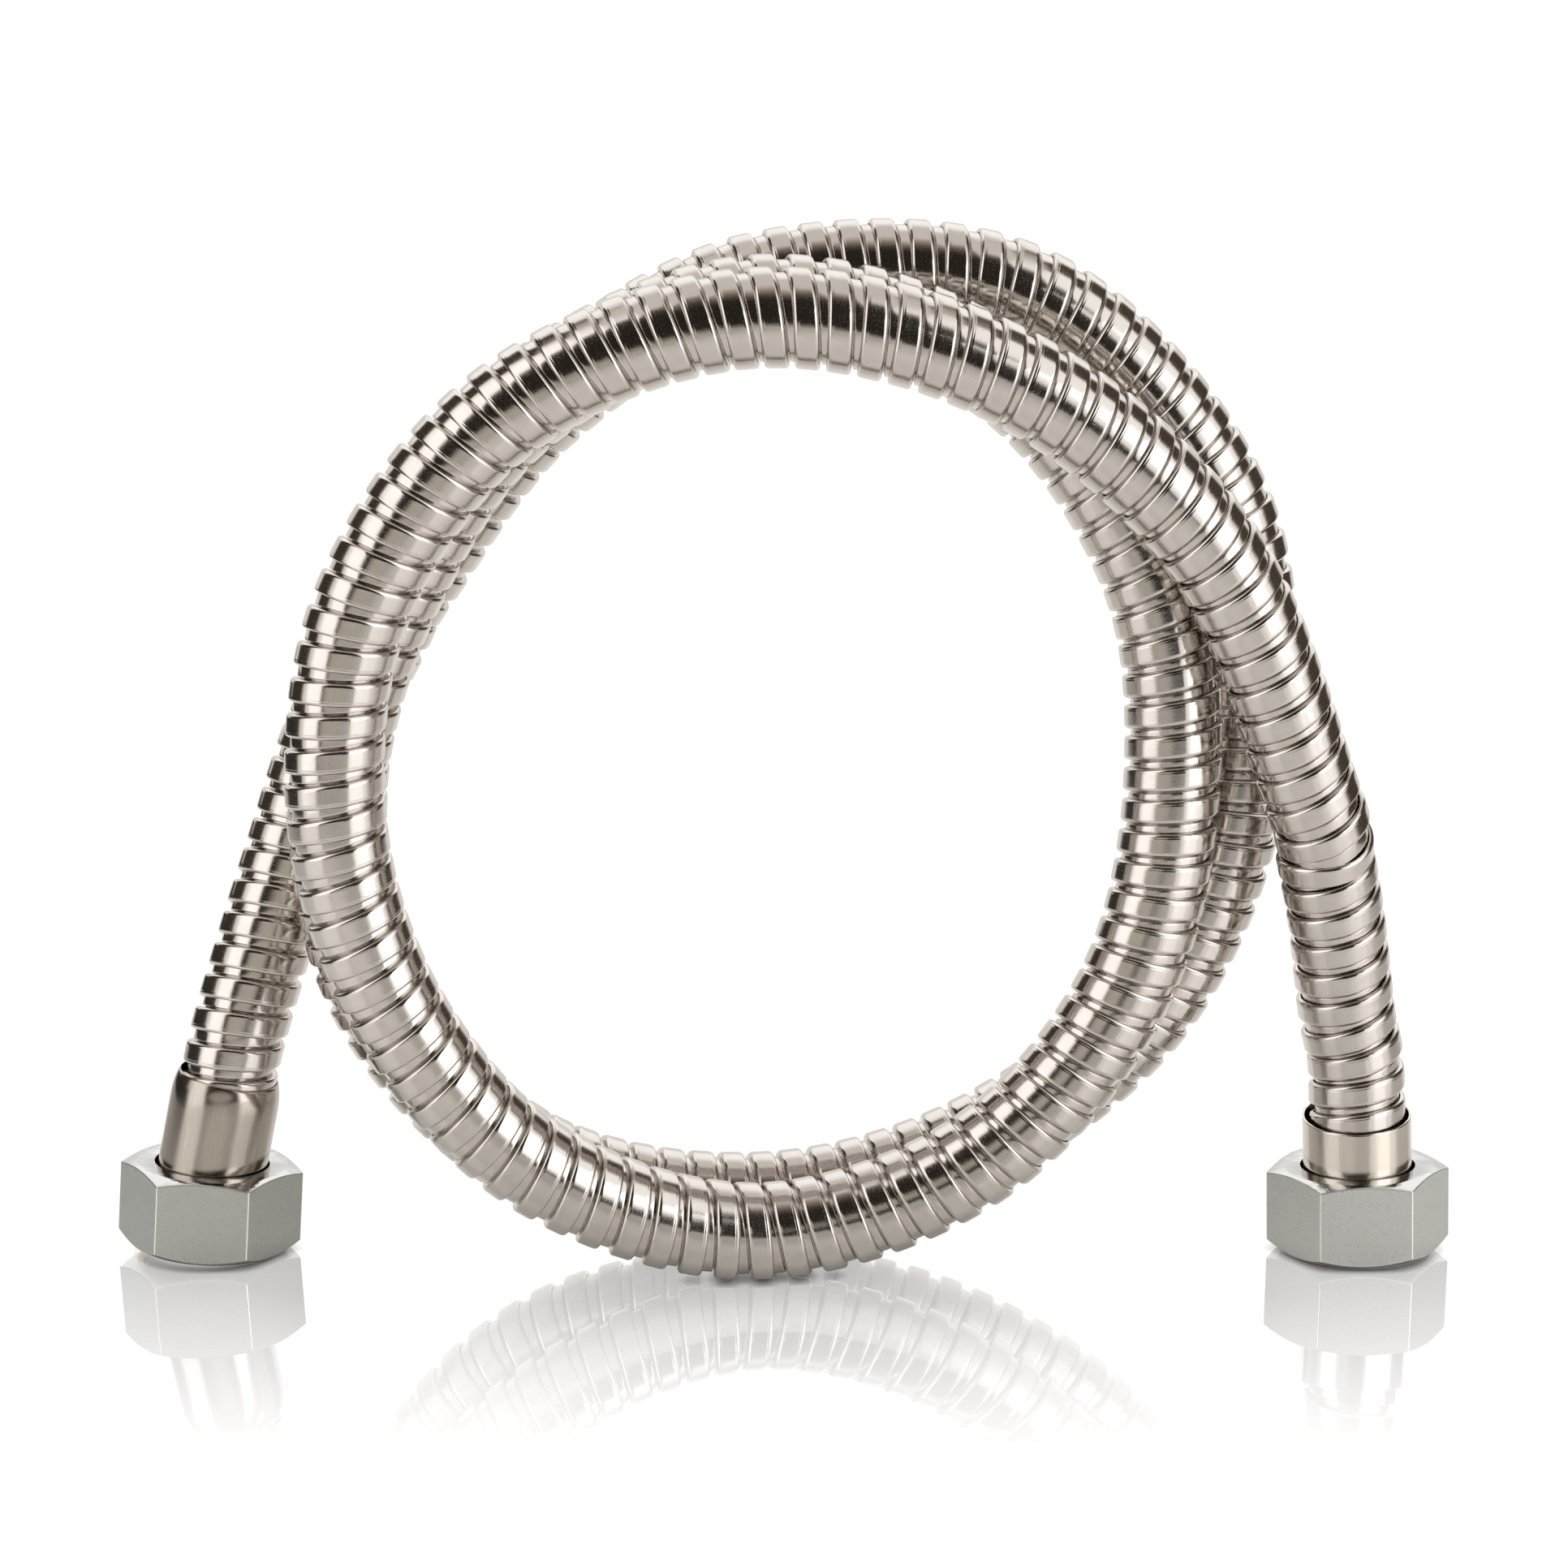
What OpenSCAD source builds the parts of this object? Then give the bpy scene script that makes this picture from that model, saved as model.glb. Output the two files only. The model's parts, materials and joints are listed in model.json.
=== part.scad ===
// Flexible shower hose: a strip-wound steel casing over a water tube, with a swivel
// nut at each end. It stands on its two nuts, coiled in two and a half loose turns.
// Millimetres. +Z is up, the floor is Z = 0, and the origin lies midway between the nuts.
// The tap end is at -X and the handset end at +X. -Y is the front.

/* [Hose] */
// Outside diameter of the steel casing, over its ribs
casing_od = 14; // [13:0.5:14.5]
// Depth of the groove between two turns of the rib
groove_depth = 0.9; // [0.6:0.1:1]
// Turns of the rib along the whole casing
rib_count = 200; // [120:1:200]
// Bore of the water tube
tube_bore = 8; // [6:0.25:8.25]
// Wall of the water tube
tube_wall = 1; // [0.8:0.1:1.1]
// Gap between the water tube and the casing round it
tube_gap = 0.5; // [0.3:0.1:0.6]

/* [Swivel nuts] */
// Width across the flats of a nut
nut_af = 23; // [22.5:0.5:27]
// Height of a nut
nut_h = 12.5; // [12:0.5:16]
// Thickness of the web at a nut's top, which the hose end hangs from
nut_web = 1.8; // [1.2:0.1:2.2]
// Diameter of the flat ring left by the chamfer on a nut's top face
nut_top_d = 22; // [20.5:0.5:22.5]
// Slope of the top chamfer, in degrees
nut_top_slope = 22; // [10:1:35]
// Diameter of the flat ring left by the chamfer on a nut's mouth face
nut_mouth_d = 21; // [20.5:0.5:22.5]
// Slope of the mouth chamfer, in degrees
nut_mouth_slope = 28; // [10:1:35]
// Diameter of the thread's crests, for a half-inch pipe thread
thread_minor_d = 18.6; // [18.4:0.1:19]
// Length of the threaded wall
thread_len = 4; // [3:0.25:4.25]
// Width and depth of the bevel at the mouth of the thread
thread_lead = 0.6; // [0.3:0.1:0.8]
// Diameter of the washer chamber above the thread
chamber_d = 19.6; // [19.4:0.1:20.4]
// Lean of the tap end's nut, in degrees, its top towards +X
tap_nut_lean = 3.5; // [2:0.25:5]
// Lean of the handset end's nut, in degrees, its top towards -X
hand_nut_lean = 1.2; // [0:0.1:2]

/* [End sleeves] */
// Wall of a sleeve
sleeve_wall = 0.35; // [0.3:0.05:0.5]
// Gap between the casing's ribs and a sleeve
sleeve_gap = 0.5; // [0.3:0.05:0.6]
// Length of the rolled sleeve at the tap end
tap_sleeve_len = 16.5; // [12:0.5:18]
// Height of the rolled rim that draws the tap end's sleeve in on the casing
rolled_rim = 2.6; // [0.8:0.1:3]
// How far the rolled rim has turned from upright at its edge, in degrees
rim_turn = 30; // [20:5:80]
// Thickness that the rolled rim is thinned to at its edge
rim_edge = 0.1; // [0.1:0.05:0.3]
// Length of the plain sleeve at the handset end, at its sides
hand_sleeve_len = 9.7; // [7:0.1:14]
// Slope of the plain sleeve's cut, which is lowest at the front, in degrees
hand_cut_slope = 7; // [0:0.5:10]
// Thickness of the lip at a sleeve's foot, which bears on the nut's web
lip_t = 0.5; // [0.4:0.1:0.6]
// How far the lip reaches out past the hole in the web
lip_overlap = 0.5; // [0.3:0.1:0.6]
// Gap round a sleeve in the hole in the web, in which the nut turns and tilts
swivel_gap = 0.45; // [0.35:0.05:0.6]

/* [Inserts] */
// Bore of the brass insert
insert_bore = 5.6; // [4:0.1:6]
// Length of the barbed spigot above its flange
spigot_len = 12; // [8:0.5:13]
// Barbs on a spigot
barb_count = 4; // [2:1:5]
// Depth of a barb
barb_depth = 0.3; // [0.2:0.05:0.4]
// Thickness of the insert's flange
flange_t = 1; // [0.8:0.1:1.2]
// Height of the grip ring that holds the tube on the spigot
grip_h = 3.4; // [2:0.1:4]
// Thickness of the rubber washer
washer_t = 1.8; // [1.4:0.1:2]
// Hole in the rubber washer
washer_hole = 10; // [7:0.5:12]

/* [Hidden] */
$fn = 96;

// Gap between pieces that seat against each other.
seat_gap = 0.05;
// Gap between the lip and the web where the lip comes nearest to it.
lip_gap = 0.1;
EPS = 0.01;

// ---- Radii, from the bore outwards ----
sides = 8; // Sides of the casing and of the tube, which are both faceted.
across = cos(180 / sides); // A facet's middle lies at this share of its corners' radius.
tube_r = tube_bore / 2 + tube_wall;
casing_bore_r = tube_r + tube_gap;
casing_r = casing_od / 2;
groove_r = casing_r - groove_depth;
sleeve_bore_r = casing_r + sleeve_gap;
sleeve_r = sleeve_bore_r + sleeve_wall;
web_hole_r = sleeve_r + swivel_gap;
lip_r = web_hole_r + lip_overlap;
barb_r = tube_bore / 2 * across - seat_gap;
grip_bore_r = tube_r + seat_gap;
grip_r = sleeve_bore_r - seat_gap;

// ---- Heights on an end's own axis, from the top of the sleeve's lip ----
flange_top = -lip_t - seat_gap;
flange_foot = flange_top - flange_t;
washer_top = flange_foot - seat_gap;
grip_foot = flange_top + seat_gap;
tube_foot = grip_foot;
casing_foot = grip_foot + grip_h + seat_gap;

// ---- The two ends ----
// A hose end leans from upright by a whole number of steps over a run.
tap_axis = unit([1, 0, 5]);
hand_axis = unit([-1, 0, 25]);
tap_lean = atan2(tap_axis.x, tap_axis.z);
hand_lean = atan2(hand_axis.x, hand_axis.z);
// Where each nut's own axis and its hose end's axis cross, at the middle of the web.
tap_pivot_x = -83;
hand_pivot_x = 83.25;
web_mid = nut_h - nut_web / 2;

// A nut leans on the floor with the rim of its mouth face.
function nut_foot_z(lean) = nut_mouth_d / 2 * sin(abs(lean));
function nut_axis(lean) = [sin(lean), 0, cos(lean)];
function pivot(x, lean) = [x, 0, nut_foot_z(lean) + web_mid * cos(lean)];
// How far the crossing point lies above the top of the lip, on the hose end's axis.
function pivot_rise(tilt) = (nut_web / 2 + lip_gap + lip_r * sin(abs(tilt))) / cos(tilt);

tap_pivot = pivot(tap_pivot_x, tap_nut_lean);
hand_pivot = pivot(hand_pivot_x, -hand_nut_lean);
tap_lip = tap_pivot - tap_axis * pivot_rise(tap_lean - tap_nut_lean);
hand_lip = hand_pivot - hand_axis * pivot_rise(hand_lean + hand_nut_lean);

// ---- The hose's route ----
// Both ends run straight for one diameter of the hose. Between them come a lead up
// from the handset end, two and a half loose turns and a lead down to the tap end.
straight = 14;
hand_end = hand_lip + hand_axis * casing_foot;
tap_end = tap_lip + tap_axis * casing_foot;

// The turns run round this centre, anticlockwise from +X as seen from the front.
bottom_radius = 63;
turns_x = -4;
turns_z = bottom_radius + casing_r;
turn_step = 30;
// Distance from the turns' centre and depth along Y, once every step of the turns.
turns = [
  [78.5, -10], [73, -16], [70.5, -19.5], [69.5, -21.5], [66.5, -23], [62, -24],
  [58, -24.5], [57.5, -23], [60.5, -19], [63, -14], [62, -11], [60, -8],
  [59, -6], [63.5, -4.5], [68.5, -4], [69, -5], [64, -7], [58.5, -8.5],
  [59, -8.5], [62.5, -5], [64.5, -1.5], [63, 1], [63.5, 3.5], [67, 5.5],
  [70, 7.5], [77, 10], [78.5, 11], [70, 11], [60.5, 10], [56.5, 8.5],
];
hand_lead = [[81, -1, 36], [79, -4, 50], [77, -6.5, 60]];
tap_lead = [[-58, 8, 89], [-65.5, 7, 74], [-70.5, 6, 59], [-75, 3, 45]];

turn_points = [
  for (i = [0 : len(turns) - 1])
    let (a = i * turn_step)
    [turns_x + turns[i][0] * cos(a), turns[i][1], turns_z + turns[i][0] * sin(a)],
];
route = concat(
  [hand_end, hand_end + hand_axis * straight],
  hand_lead,
  turn_points,
  tap_lead,
  [tap_end + tap_axis * straight, tap_end]
);
last = len(route) - 1;

function unit(v) = v / norm(v);
function sum_to(list) = [for (i = 0, s = 0; i < len(list); s = s + list[i], i = i + 1) s + list[i]];

// The spline's neighbour before and after span i. The first and last spans are straight,
// and the spans next to them start out along those.
function before(i) =
  i == 0 ? 2 * route[0] - route[1] :
  i == 1 ? route[2] - 2 * norm(route[2] - route[1]) * unit(route[1] - route[0]) :
  i == last - 1 ? 2 * route[last - 1] - route[last] :
  route[i - 1];
function after(i) =
  i == 0 ? 2 * route[1] - route[0] :
  i == last - 1 ? 2 * route[last] - route[last - 1] :
  i == last - 2 ? route[i] + 2 * norm(route[i + 1] - route[i]) * unit(route[last] - route[i + 1]) :
  route[i + 2];
function on_span(i, t) =
  let (a = before(i), b = route[i], c = route[i + 1], d = after(i))
  (2 * b + (c - a) * t + (2 * a - 5 * b + 4 * c - d) * t * t + (3 * b - a - 3 * c + d) * t * t * t) / 2;
function along_span(i, t) =
  let (a = before(i), b = route[i], c = route[i + 1], d = after(i))
  unit((c - a) + (4 * a - 10 * b + 8 * c - 2 * d) * t + (9 * b - 3 * a - 9 * c + 3 * d) * t * t);
function at_knot(u) = let (i = min(floor(u), last - 1)) on_span(i, u - i);
function along_knot(u) = let (i = min(floor(u), last - 1)) along_span(i, u - i);

// Length along the route at each small step, and the step at each length.
span_steps = 16;
steps = last * span_steps;
step_points = [for (k = [0 : steps]) at_knot(k / span_steps)];
step_lengths = sum_to([for (k = [0 : steps]) k == 0 ? 0 : norm(step_points[k] - step_points[k - 1])]);
hose_len = step_lengths[steps];
knot_at_length = [for (k = [0 : steps]) [step_lengths[k], k / span_steps]];

// The middle of the hose at length s, and the unit vectors across it: one near +Y and
// one near the turns' radius. Past an end, the route goes straight on.
function middle(s) =
  s < 0 ? route[0] + hand_axis * s :
  s > hose_len ? route[last] - tap_axis * (s - hose_len) :
  at_knot(lookup(s, knot_at_length));
function along(s) = along_knot(lookup(min(max(s, 0), hose_len), knot_at_length));
function corner(s, r, angle) =
  let (t = along(s), n = unit([0, 1, 0] - t.y * t), b = cross(t, n))
  middle(s) + r * (cos(angle) * n + sin(angle) * b);
function ring(s, r) = [for (j = [0 : sides - 1]) corner(s, r, j * 360 / sides)];

// ---- Faces of rings, as triangles, anticlockwise seen from outside ----
function quad(a, b, c, d) = [[a, b, c], [a, c, d]];
function band(low, high) = [
  for (j = [0 : sides - 1])
    let (k = (j + 1) % sides)
    each quad(low + j, low + k, high + k, high + j),
];
function tube_faces(first, count) = [for (k = [0 : count - 2]) each band(first + k * sides, first + (k + 1) * sides)];
function reversed(faces) = [for (f = faces) [f[2], f[1], f[0]]];

// ---- The casing ----
// One rib winds along it as a right-handed helix. Its corners are numbered along the
// helix, so corner i + sides lies one turn further on, over corner i.
bore_spans = 80;
rib_start = 1;
rib_pitch = (hose_len - 2 * rib_start) / (rib_count + 1);
rib_steps = rib_count * sides;
function rib_s(i) = rib_start + rib_pitch * i / sides;
crests = [for (i = [0 : rib_steps + sides]) corner(rib_s(i), casing_r, i * 360 / sides)];
grooves = [for (i = [0 : rib_steps]) corner(rib_s(i) + rib_pitch / 2, groove_r, i * 360 / sides)];
bore_stations = [for (k = [0 : bore_spans]) hose_len * k / bore_spans];

casing_points = concat(
  ring(0, groove_r),
  crests,
  grooves,
  ring(hose_len, groove_r),
  [for (s = bore_stations) each ring(s, casing_bore_r)]
);
first_crest = sides;
first_groove = first_crest + len(crests);
end_ring = first_groove + len(grooves);
first_bore = end_ring + sides;
last_bore = first_bore + bore_spans * sides;

function crest(i) = first_crest + i;
function groove(i) = first_groove + i;
function start_corner(i) = i % sides;
function end_corner(i) = end_ring + i % sides;

rib_faces = [
  for (i = [0 : rib_steps - 1])
    each concat(
      quad(crest(i), crest(i + 1), groove(i + 1), groove(i)),
      quad(groove(i), groove(i + 1), crest(i + sides + 1), crest(i + sides))
    ),
];
// The helix starts and stops part-way up, so the last facet before the start and the
// first after the stop take in the rib's whole profile.
start_faces = concat(
  [for (i = [0 : sides - 2]) each quad(start_corner(i), start_corner(i + 1), crest(i + 1), crest(i))],
  [
    [sides - 1, 0, crest(0)],
    [sides - 1, crest(0), groove(0)],
    [sides - 1, groove(0), crest(sides)],
    [sides - 1, crest(sides), crest(sides - 1)],
  ]
);
stop = rib_steps;
stop_faces = concat(
  [
    for (i = [stop + 1 : stop + sides - 1])
      each quad(crest(i), crest(i + 1), end_corner(i + 1), end_corner(i)),
  ],
  [
    [end_corner(stop + 1), end_corner(stop), crest(stop + sides)],
    [end_corner(stop + 1), crest(stop + sides), groove(stop)],
    [end_corner(stop + 1), groove(stop), crest(stop)],
    [end_corner(stop + 1), crest(stop), crest(stop + 1)],
  ]
);
casing_faces = concat(
  rib_faces,
  start_faces,
  stop_faces,
  band(first_bore, 0),
  band(end_ring, last_bore),
  reversed(tube_faces(first_bore, bore_spans + 1))
);

module steel_casing() {
  color("#c4beb6")
    polyhedron(points = casing_points, faces = reversed(casing_faces));
}

// ---- The water tube ----
// It stands out past the casing at both ends, down to the flanges of the inserts.
tube_out = casing_foot - tube_foot;
tube_stations = [
  for (k = [0 : bore_spans])
    k == 0 ? -tube_out : k == bore_spans ? hose_len + tube_out : bore_stations[k],
];
tube_points = concat(
  [for (s = tube_stations) each ring(s, tube_r)],
  [for (s = tube_stations) each ring(s, tube_bore / 2)]
);
tube_inner = len(tube_stations) * sides;

module water_tube() {
  faces = concat(
    tube_faces(0, bore_spans + 1),
    reversed(tube_faces(tube_inner, bore_spans + 1)),
    band(tube_inner, 0),
    band(bore_spans * sides, tube_inner + bore_spans * sides)
  );
  color("#33363a")
    polyhedron(points = tube_points, faces = reversed(faces));
}

// ---- Pieces of one end, each on its own axis ----
module ring_solid(outer_r, inner_r, foot, height) {
  translate([0, 0, foot])
    difference() {
      cylinder(r = outer_r, h = height);
      translate([0, 0, -EPS])
        cylinder(r = inner_r, h = height + 2 * EPS);
    }
}

// A hexagon whose corners are turned off at both faces.
module nut_blank() {
  corner_r = nut_af / sqrt(3);
  past = corner_r + 1;
  top_drop = (past - nut_top_d / 2) * tan(nut_top_slope);
  mouth_rise = (past - nut_mouth_d / 2) * tan(nut_mouth_slope);
  intersection() {
    cylinder(r = corner_r, h = nut_h, $fn = 6);
    rotate_extrude()
      polygon([
        [0, 0], [nut_mouth_d / 2, 0], [past, mouth_rise],
        [past, nut_h - top_drop], [nut_top_d / 2, nut_h], [0, nut_h],
      ]);
  }
}

module swivel_nut() {
  thread_r = thread_minor_d / 2;
  thread_top = thread_lead + thread_len;
  web_foot = nut_h - nut_web;
  color("#aeb2b0")
    difference() {
      nut_blank();
      translate([0, 0, -EPS])
        cylinder(r1 = thread_r + thread_lead + EPS, r2 = thread_r, h = thread_lead + EPS);
      cylinder(r = thread_r, h = web_foot);
      translate([0, 0, thread_top])
        cylinder(d = chamber_d, h = web_foot - thread_top);
      translate([0, 0, web_foot - EPS])
        cylinder(r = web_hole_r, h = nut_web + 2 * EPS);
    }
}

module lip() {
  ring_solid(lip_r, sleeve_bore_r, -lip_t, lip_t);
}

module plain_sleeve(length, slope) {
  reach = sleeve_r * tan(slope) + EPS;
  beyond = 2 * sleeve_r;
  color("#b0a69e")
    union() {
      lip();
      difference() {
        ring_solid(sleeve_r, sleeve_bore_r, -lip_t, length + reach + lip_t);
        translate([0, 0, length])
          rotate([slope, 0, 0])
            translate([-beyond, -beyond, 0])
              cube([2 * beyond, 2 * beyond, beyond]);
      }
    }
}

// Its rim is rolled in along an arc until its edge all but touches the ribs.
module rolled_sleeve(length) {
  rim_foot = length - rolled_rim;
  edge_r = casing_r + seat_gap;
  arc_steps = 8;
  turns_in = [for (i = [0 : arc_steps]) rim_turn * i / arc_steps];
  function rolled(r, to_r, a) = [
    r - (r - to_r) * (1 - cos(a)) / (1 - cos(rim_turn)),
    rim_foot + rolled_rim * sin(a) / sin(rim_turn),
  ];
  color("#b0a69e")
    union() {
      lip();
      rotate_extrude()
        polygon(concat(
          [[sleeve_bore_r, -lip_t], [sleeve_r, -lip_t]],
          [for (a = turns_in) rolled(sleeve_r, edge_r + rim_edge, a)],
          [for (i = [arc_steps : -1 : 0]) rolled(sleeve_bore_r, edge_r, turns_in[i])]
        ));
    }
}

module insert() {
  root_r = barb_r - barb_depth;
  barb_len = spigot_len / (barb_count + 1);
  nose = 0.5;
  top = flange_top + spigot_len;
  color("#b99a55")
    rotate_extrude()
      polygon(concat(
        [[insert_bore / 2, flange_foot], [lip_r, flange_foot], [lip_r, flange_top], [root_r, flange_top]],
        [for (i = [1 : barb_count])
          let (z = flange_top + barb_len * i)
          each [[root_r, z], [barb_r, z], [root_r, z + barb_len - nose]]],
        [[root_r, top - nose], [root_r - barb_depth / 2, top], [insert_bore / 2, top]]
      ));
}

module grip_ring() {
  bevel = 0.6;
  color("#d8d4c8")
    rotate_extrude()
      polygon([
        [grip_bore_r, grip_foot], [grip_r, grip_foot], [grip_r, grip_foot + grip_h - bevel],
        [grip_r - bevel, grip_foot + grip_h], [grip_bore_r, grip_foot + grip_h],
      ]);
}

module washer() {
  color("#2b2b2b")
    ring_solid(lip_r, washer_hole / 2, washer_top - washer_t, washer_t);
}

// ---- Placing ----
module on_tap_end() {
  translate(tap_lip)
    rotate([0, tap_lean, 0])
      children();
}

module on_hand_end() {
  translate(hand_lip)
    rotate([0, hand_lean, 0])
      children();
}

// One flat of each nut faces the front, give or take this many degrees.
nut_spin = 1;

module place_nut(crossing, lean, spin) {
  translate(crossing - web_mid * nut_axis(lean))
    rotate([0, lean, 0])
      rotate([0, 0, spin])
        children();
}

module tap_nut() {
  place_nut(tap_pivot, tap_nut_lean, -nut_spin)
    swivel_nut();
}

module handset_nut() {
  place_nut(hand_pivot, -hand_nut_lean, nut_spin)
    swivel_nut();
}

module tap_sleeve() {
  on_tap_end()
    rolled_sleeve(tap_sleeve_len);
}

module handset_sleeve() {
  on_hand_end()
    plain_sleeve(hand_sleeve_len, hand_cut_slope);
}

module tap_insert() {
  on_tap_end()
    insert();
}

module handset_insert() {
  on_hand_end()
    insert();
}

module tap_grip_ring() {
  on_tap_end()
    grip_ring();
}

module handset_grip_ring() {
  on_hand_end()
    grip_ring();
}

module tap_washer() {
  on_tap_end()
    washer();
}

module handset_washer() {
  on_hand_end()
    washer();
}

// The hose's least gap to itself, between points more than a few diameters apart along it.
gap_step = 6;
gap_far = 3 * casing_od;
gap_points = [for (s = [0 : gap_step : hose_len]) middle(s)];
gap_skip = ceil(gap_far / gap_step);
least_gap = min([
  for (i = [0 : len(gap_points) - 1])
    for (j = [i + gap_skip : 1 : len(gap_points) - 1])
      norm(gap_points[i] - gap_points[j]),
]) - casing_od;
echo(hose_length = hose_len, least_gap_to_itself = least_gap);

steel_casing();
water_tube();
tap_nut();
tap_sleeve();
tap_insert();
tap_grip_ring();
tap_washer();
handset_nut();
handset_sleeve();
handset_insert();
handset_grip_ring();
handset_washer();
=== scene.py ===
"""The looks of a flexible shower hose: strip-wound steel, with a swivel nut at each end.

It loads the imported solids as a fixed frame, winds the casing's strip over the same
route, cuts the nuts' threads, gives every piece its finish and sets up the studio.
Metres, +Z up, -Y the front. The tap end is at -X and the handset end at +X.
"""

import json
import math

import bpy
import numpy as np
from bpy.props import FloatProperty, FloatVectorProperty, IntProperty, PointerProperty
from mathutils import Matrix, Vector


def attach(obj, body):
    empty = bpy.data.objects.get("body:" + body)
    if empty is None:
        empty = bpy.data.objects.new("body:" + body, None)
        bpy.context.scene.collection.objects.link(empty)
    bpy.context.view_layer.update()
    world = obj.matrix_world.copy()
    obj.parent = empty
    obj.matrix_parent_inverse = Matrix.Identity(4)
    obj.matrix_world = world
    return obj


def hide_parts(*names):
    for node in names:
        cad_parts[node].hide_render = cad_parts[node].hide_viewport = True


bl_info = {
    "name": "Shower hose",
    "version": (1, 0, 0),
    "blender": (4, 5, 0),
    "location": "3D View > Sidebar > Shower hose",
    "description": "Builds the looks of a strip-wound shower hose over its packed solids",
    "category": "Object",
}

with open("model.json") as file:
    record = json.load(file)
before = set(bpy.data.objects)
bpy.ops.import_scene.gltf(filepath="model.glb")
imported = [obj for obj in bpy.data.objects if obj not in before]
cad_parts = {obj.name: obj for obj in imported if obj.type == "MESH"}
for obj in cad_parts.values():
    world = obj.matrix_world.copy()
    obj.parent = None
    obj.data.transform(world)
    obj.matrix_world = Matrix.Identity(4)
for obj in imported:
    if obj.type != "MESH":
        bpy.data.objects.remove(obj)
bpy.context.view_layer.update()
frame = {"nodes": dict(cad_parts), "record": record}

MM = 0.001
FULL_TURN = 2 * math.pi

# ---- The two hose ends, each measured from the top of its sleeve's lip ----
TAP_LIP = Vector((-83.43466529, 0, 10.04604689)) * MM
HANDSET_LIP = Vector((83.29667096, 0, 10.65057728)) * MM
TAP_AXIS = Vector((1, 0, 5)).normalized()
HANDSET_AXIS = Vector((-1, 0, 25)).normalized()
CASING_FOOT = 2.95 * MM
TUBE_FOOT = -0.5 * MM
WASHER_TOP = -1.6 * MM

# ---- The hose's route, in millimetres, from the handset end to the tap end ----
STRAIGHT = 14
TURNS_X = -4
TURNS_Z = 70
TURN_STEP = math.radians(30)
# Distance from the turns' centre and depth along Y, once every step of the turns.
TURNS = (
    (78.5, -10), (73, -16), (70.5, -19.5), (69.5, -21.5), (66.5, -23), (62, -24),
    (58, -24.5), (57.5, -23), (60.5, -19), (63, -14), (62, -11), (60, -8),
    (59, -6), (63.5, -4.5), (68.5, -4), (69, -5), (64, -7), (58.5, -8.5),
    (59, -8.5), (62.5, -5), (64.5, -1.5), (63, 1), (63.5, 3.5), (67, 5.5),
    (70, 7.5), (77, 10), (78.5, 11), (70, 11), (60.5, 10), (56.5, 8.5),
)
HANDSET_LEAD = ((81, -1, 36), (79, -4, 50), (77, -6.5, 60))
TAP_LEAD = ((-58, 8, 89), (-65.5, 7, 74), (-70.5, 6, 59), (-75, 3, 45))


def linear(colour):
    """A colour written as sRGB hex, such as #c8c4bc, as the linear RGBA that the shaders take."""
    channels = [int(colour[i : i + 2], 16) / 255 for i in (1, 3, 5)]
    return tuple(c / 12.92 if c <= 0.04045 else ((c + 0.055) / 1.055) ** 2.4 for c in channels) + (1.0,)


# ---- What a user may change ----
def length(name, description, millimetres):
    return FloatProperty(name=name, description=description, default=millimetres * MM, unit="LENGTH")


def slope(name, description, degrees):
    return FloatProperty(name=name, description=description, default=math.radians(degrees), unit="ROTATION")


def finish(name, description, colour):
    default = linear(colour)
    return FloatVectorProperty(name=name, description=description, default=default, size=4, subtype="COLOR")


class HoseSizes(bpy.types.PropertyGroup):
    casing_od: length("Casing diameter", "Outside diameter over the ribs", 14)
    pitch: length("Rib pitch", "Distance from one rib to the next", 4.7)
    rib_width: length("Rib width", "Width of a rib over its rounded edges", 3.42)
    groove_depth: length("Groove depth", "Depth of the groove between two ribs", 0.87)
    edge_round: length("Edge radius", "Radius of a rib's rolled edges", 0.62)
    strip_t: length("Strip thickness", "Thickness of the steel strip", 0.25)
    sides: IntProperty(
        name="Steps a turn", description="Steps of the mesh in one turn of the rib", default=34
    )
    tube_bore: length("Tube bore", "Bore of the water tube", 8)
    tube_wall: length("Tube wall", "Wall of the water tube", 1)


class NutSizes(bpy.types.PropertyGroup):
    across_flats: length("Across flats", "Width across the flats", 23)
    height: length("Height", "Height of the nut", 12.5)
    web: length("Web", "Thickness of the web that holds the hose end", 1.8)
    web_hole: length("Web hole", "Radius of the hole in the web", 8.3)
    top_ring: length("Top ring", "Radius of the flat ring on top", 11)
    top_slope: slope("Top slope", "Slope of the top chamfer", 22)
    mouth_ring: length("Mouth ring", "Radius of the flat ring at the mouth", 10.5)
    mouth_slope: slope("Mouth slope", "Slope of the mouth chamfer", 28)
    chamber: length("Chamber", "Radius of the washer chamber", 9.8)
    crest: length("Thread crest", "Radius of the thread's crests", 9.3)
    thread_depth: length("Thread depth", "Depth of the thread", 0.95)
    thread_pitch: length("Thread pitch", "14 threads to the inch", 25.4 / 14)
    thread_lead: length("Thread lead-in", "Width and depth of the bevel at the mouth", 0.6)
    thread_len: length("Thread length", "Length of the threaded wall", 4)
    corner_round: length("Corner radius", "Radius of the broken edges", 0.2)


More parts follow.
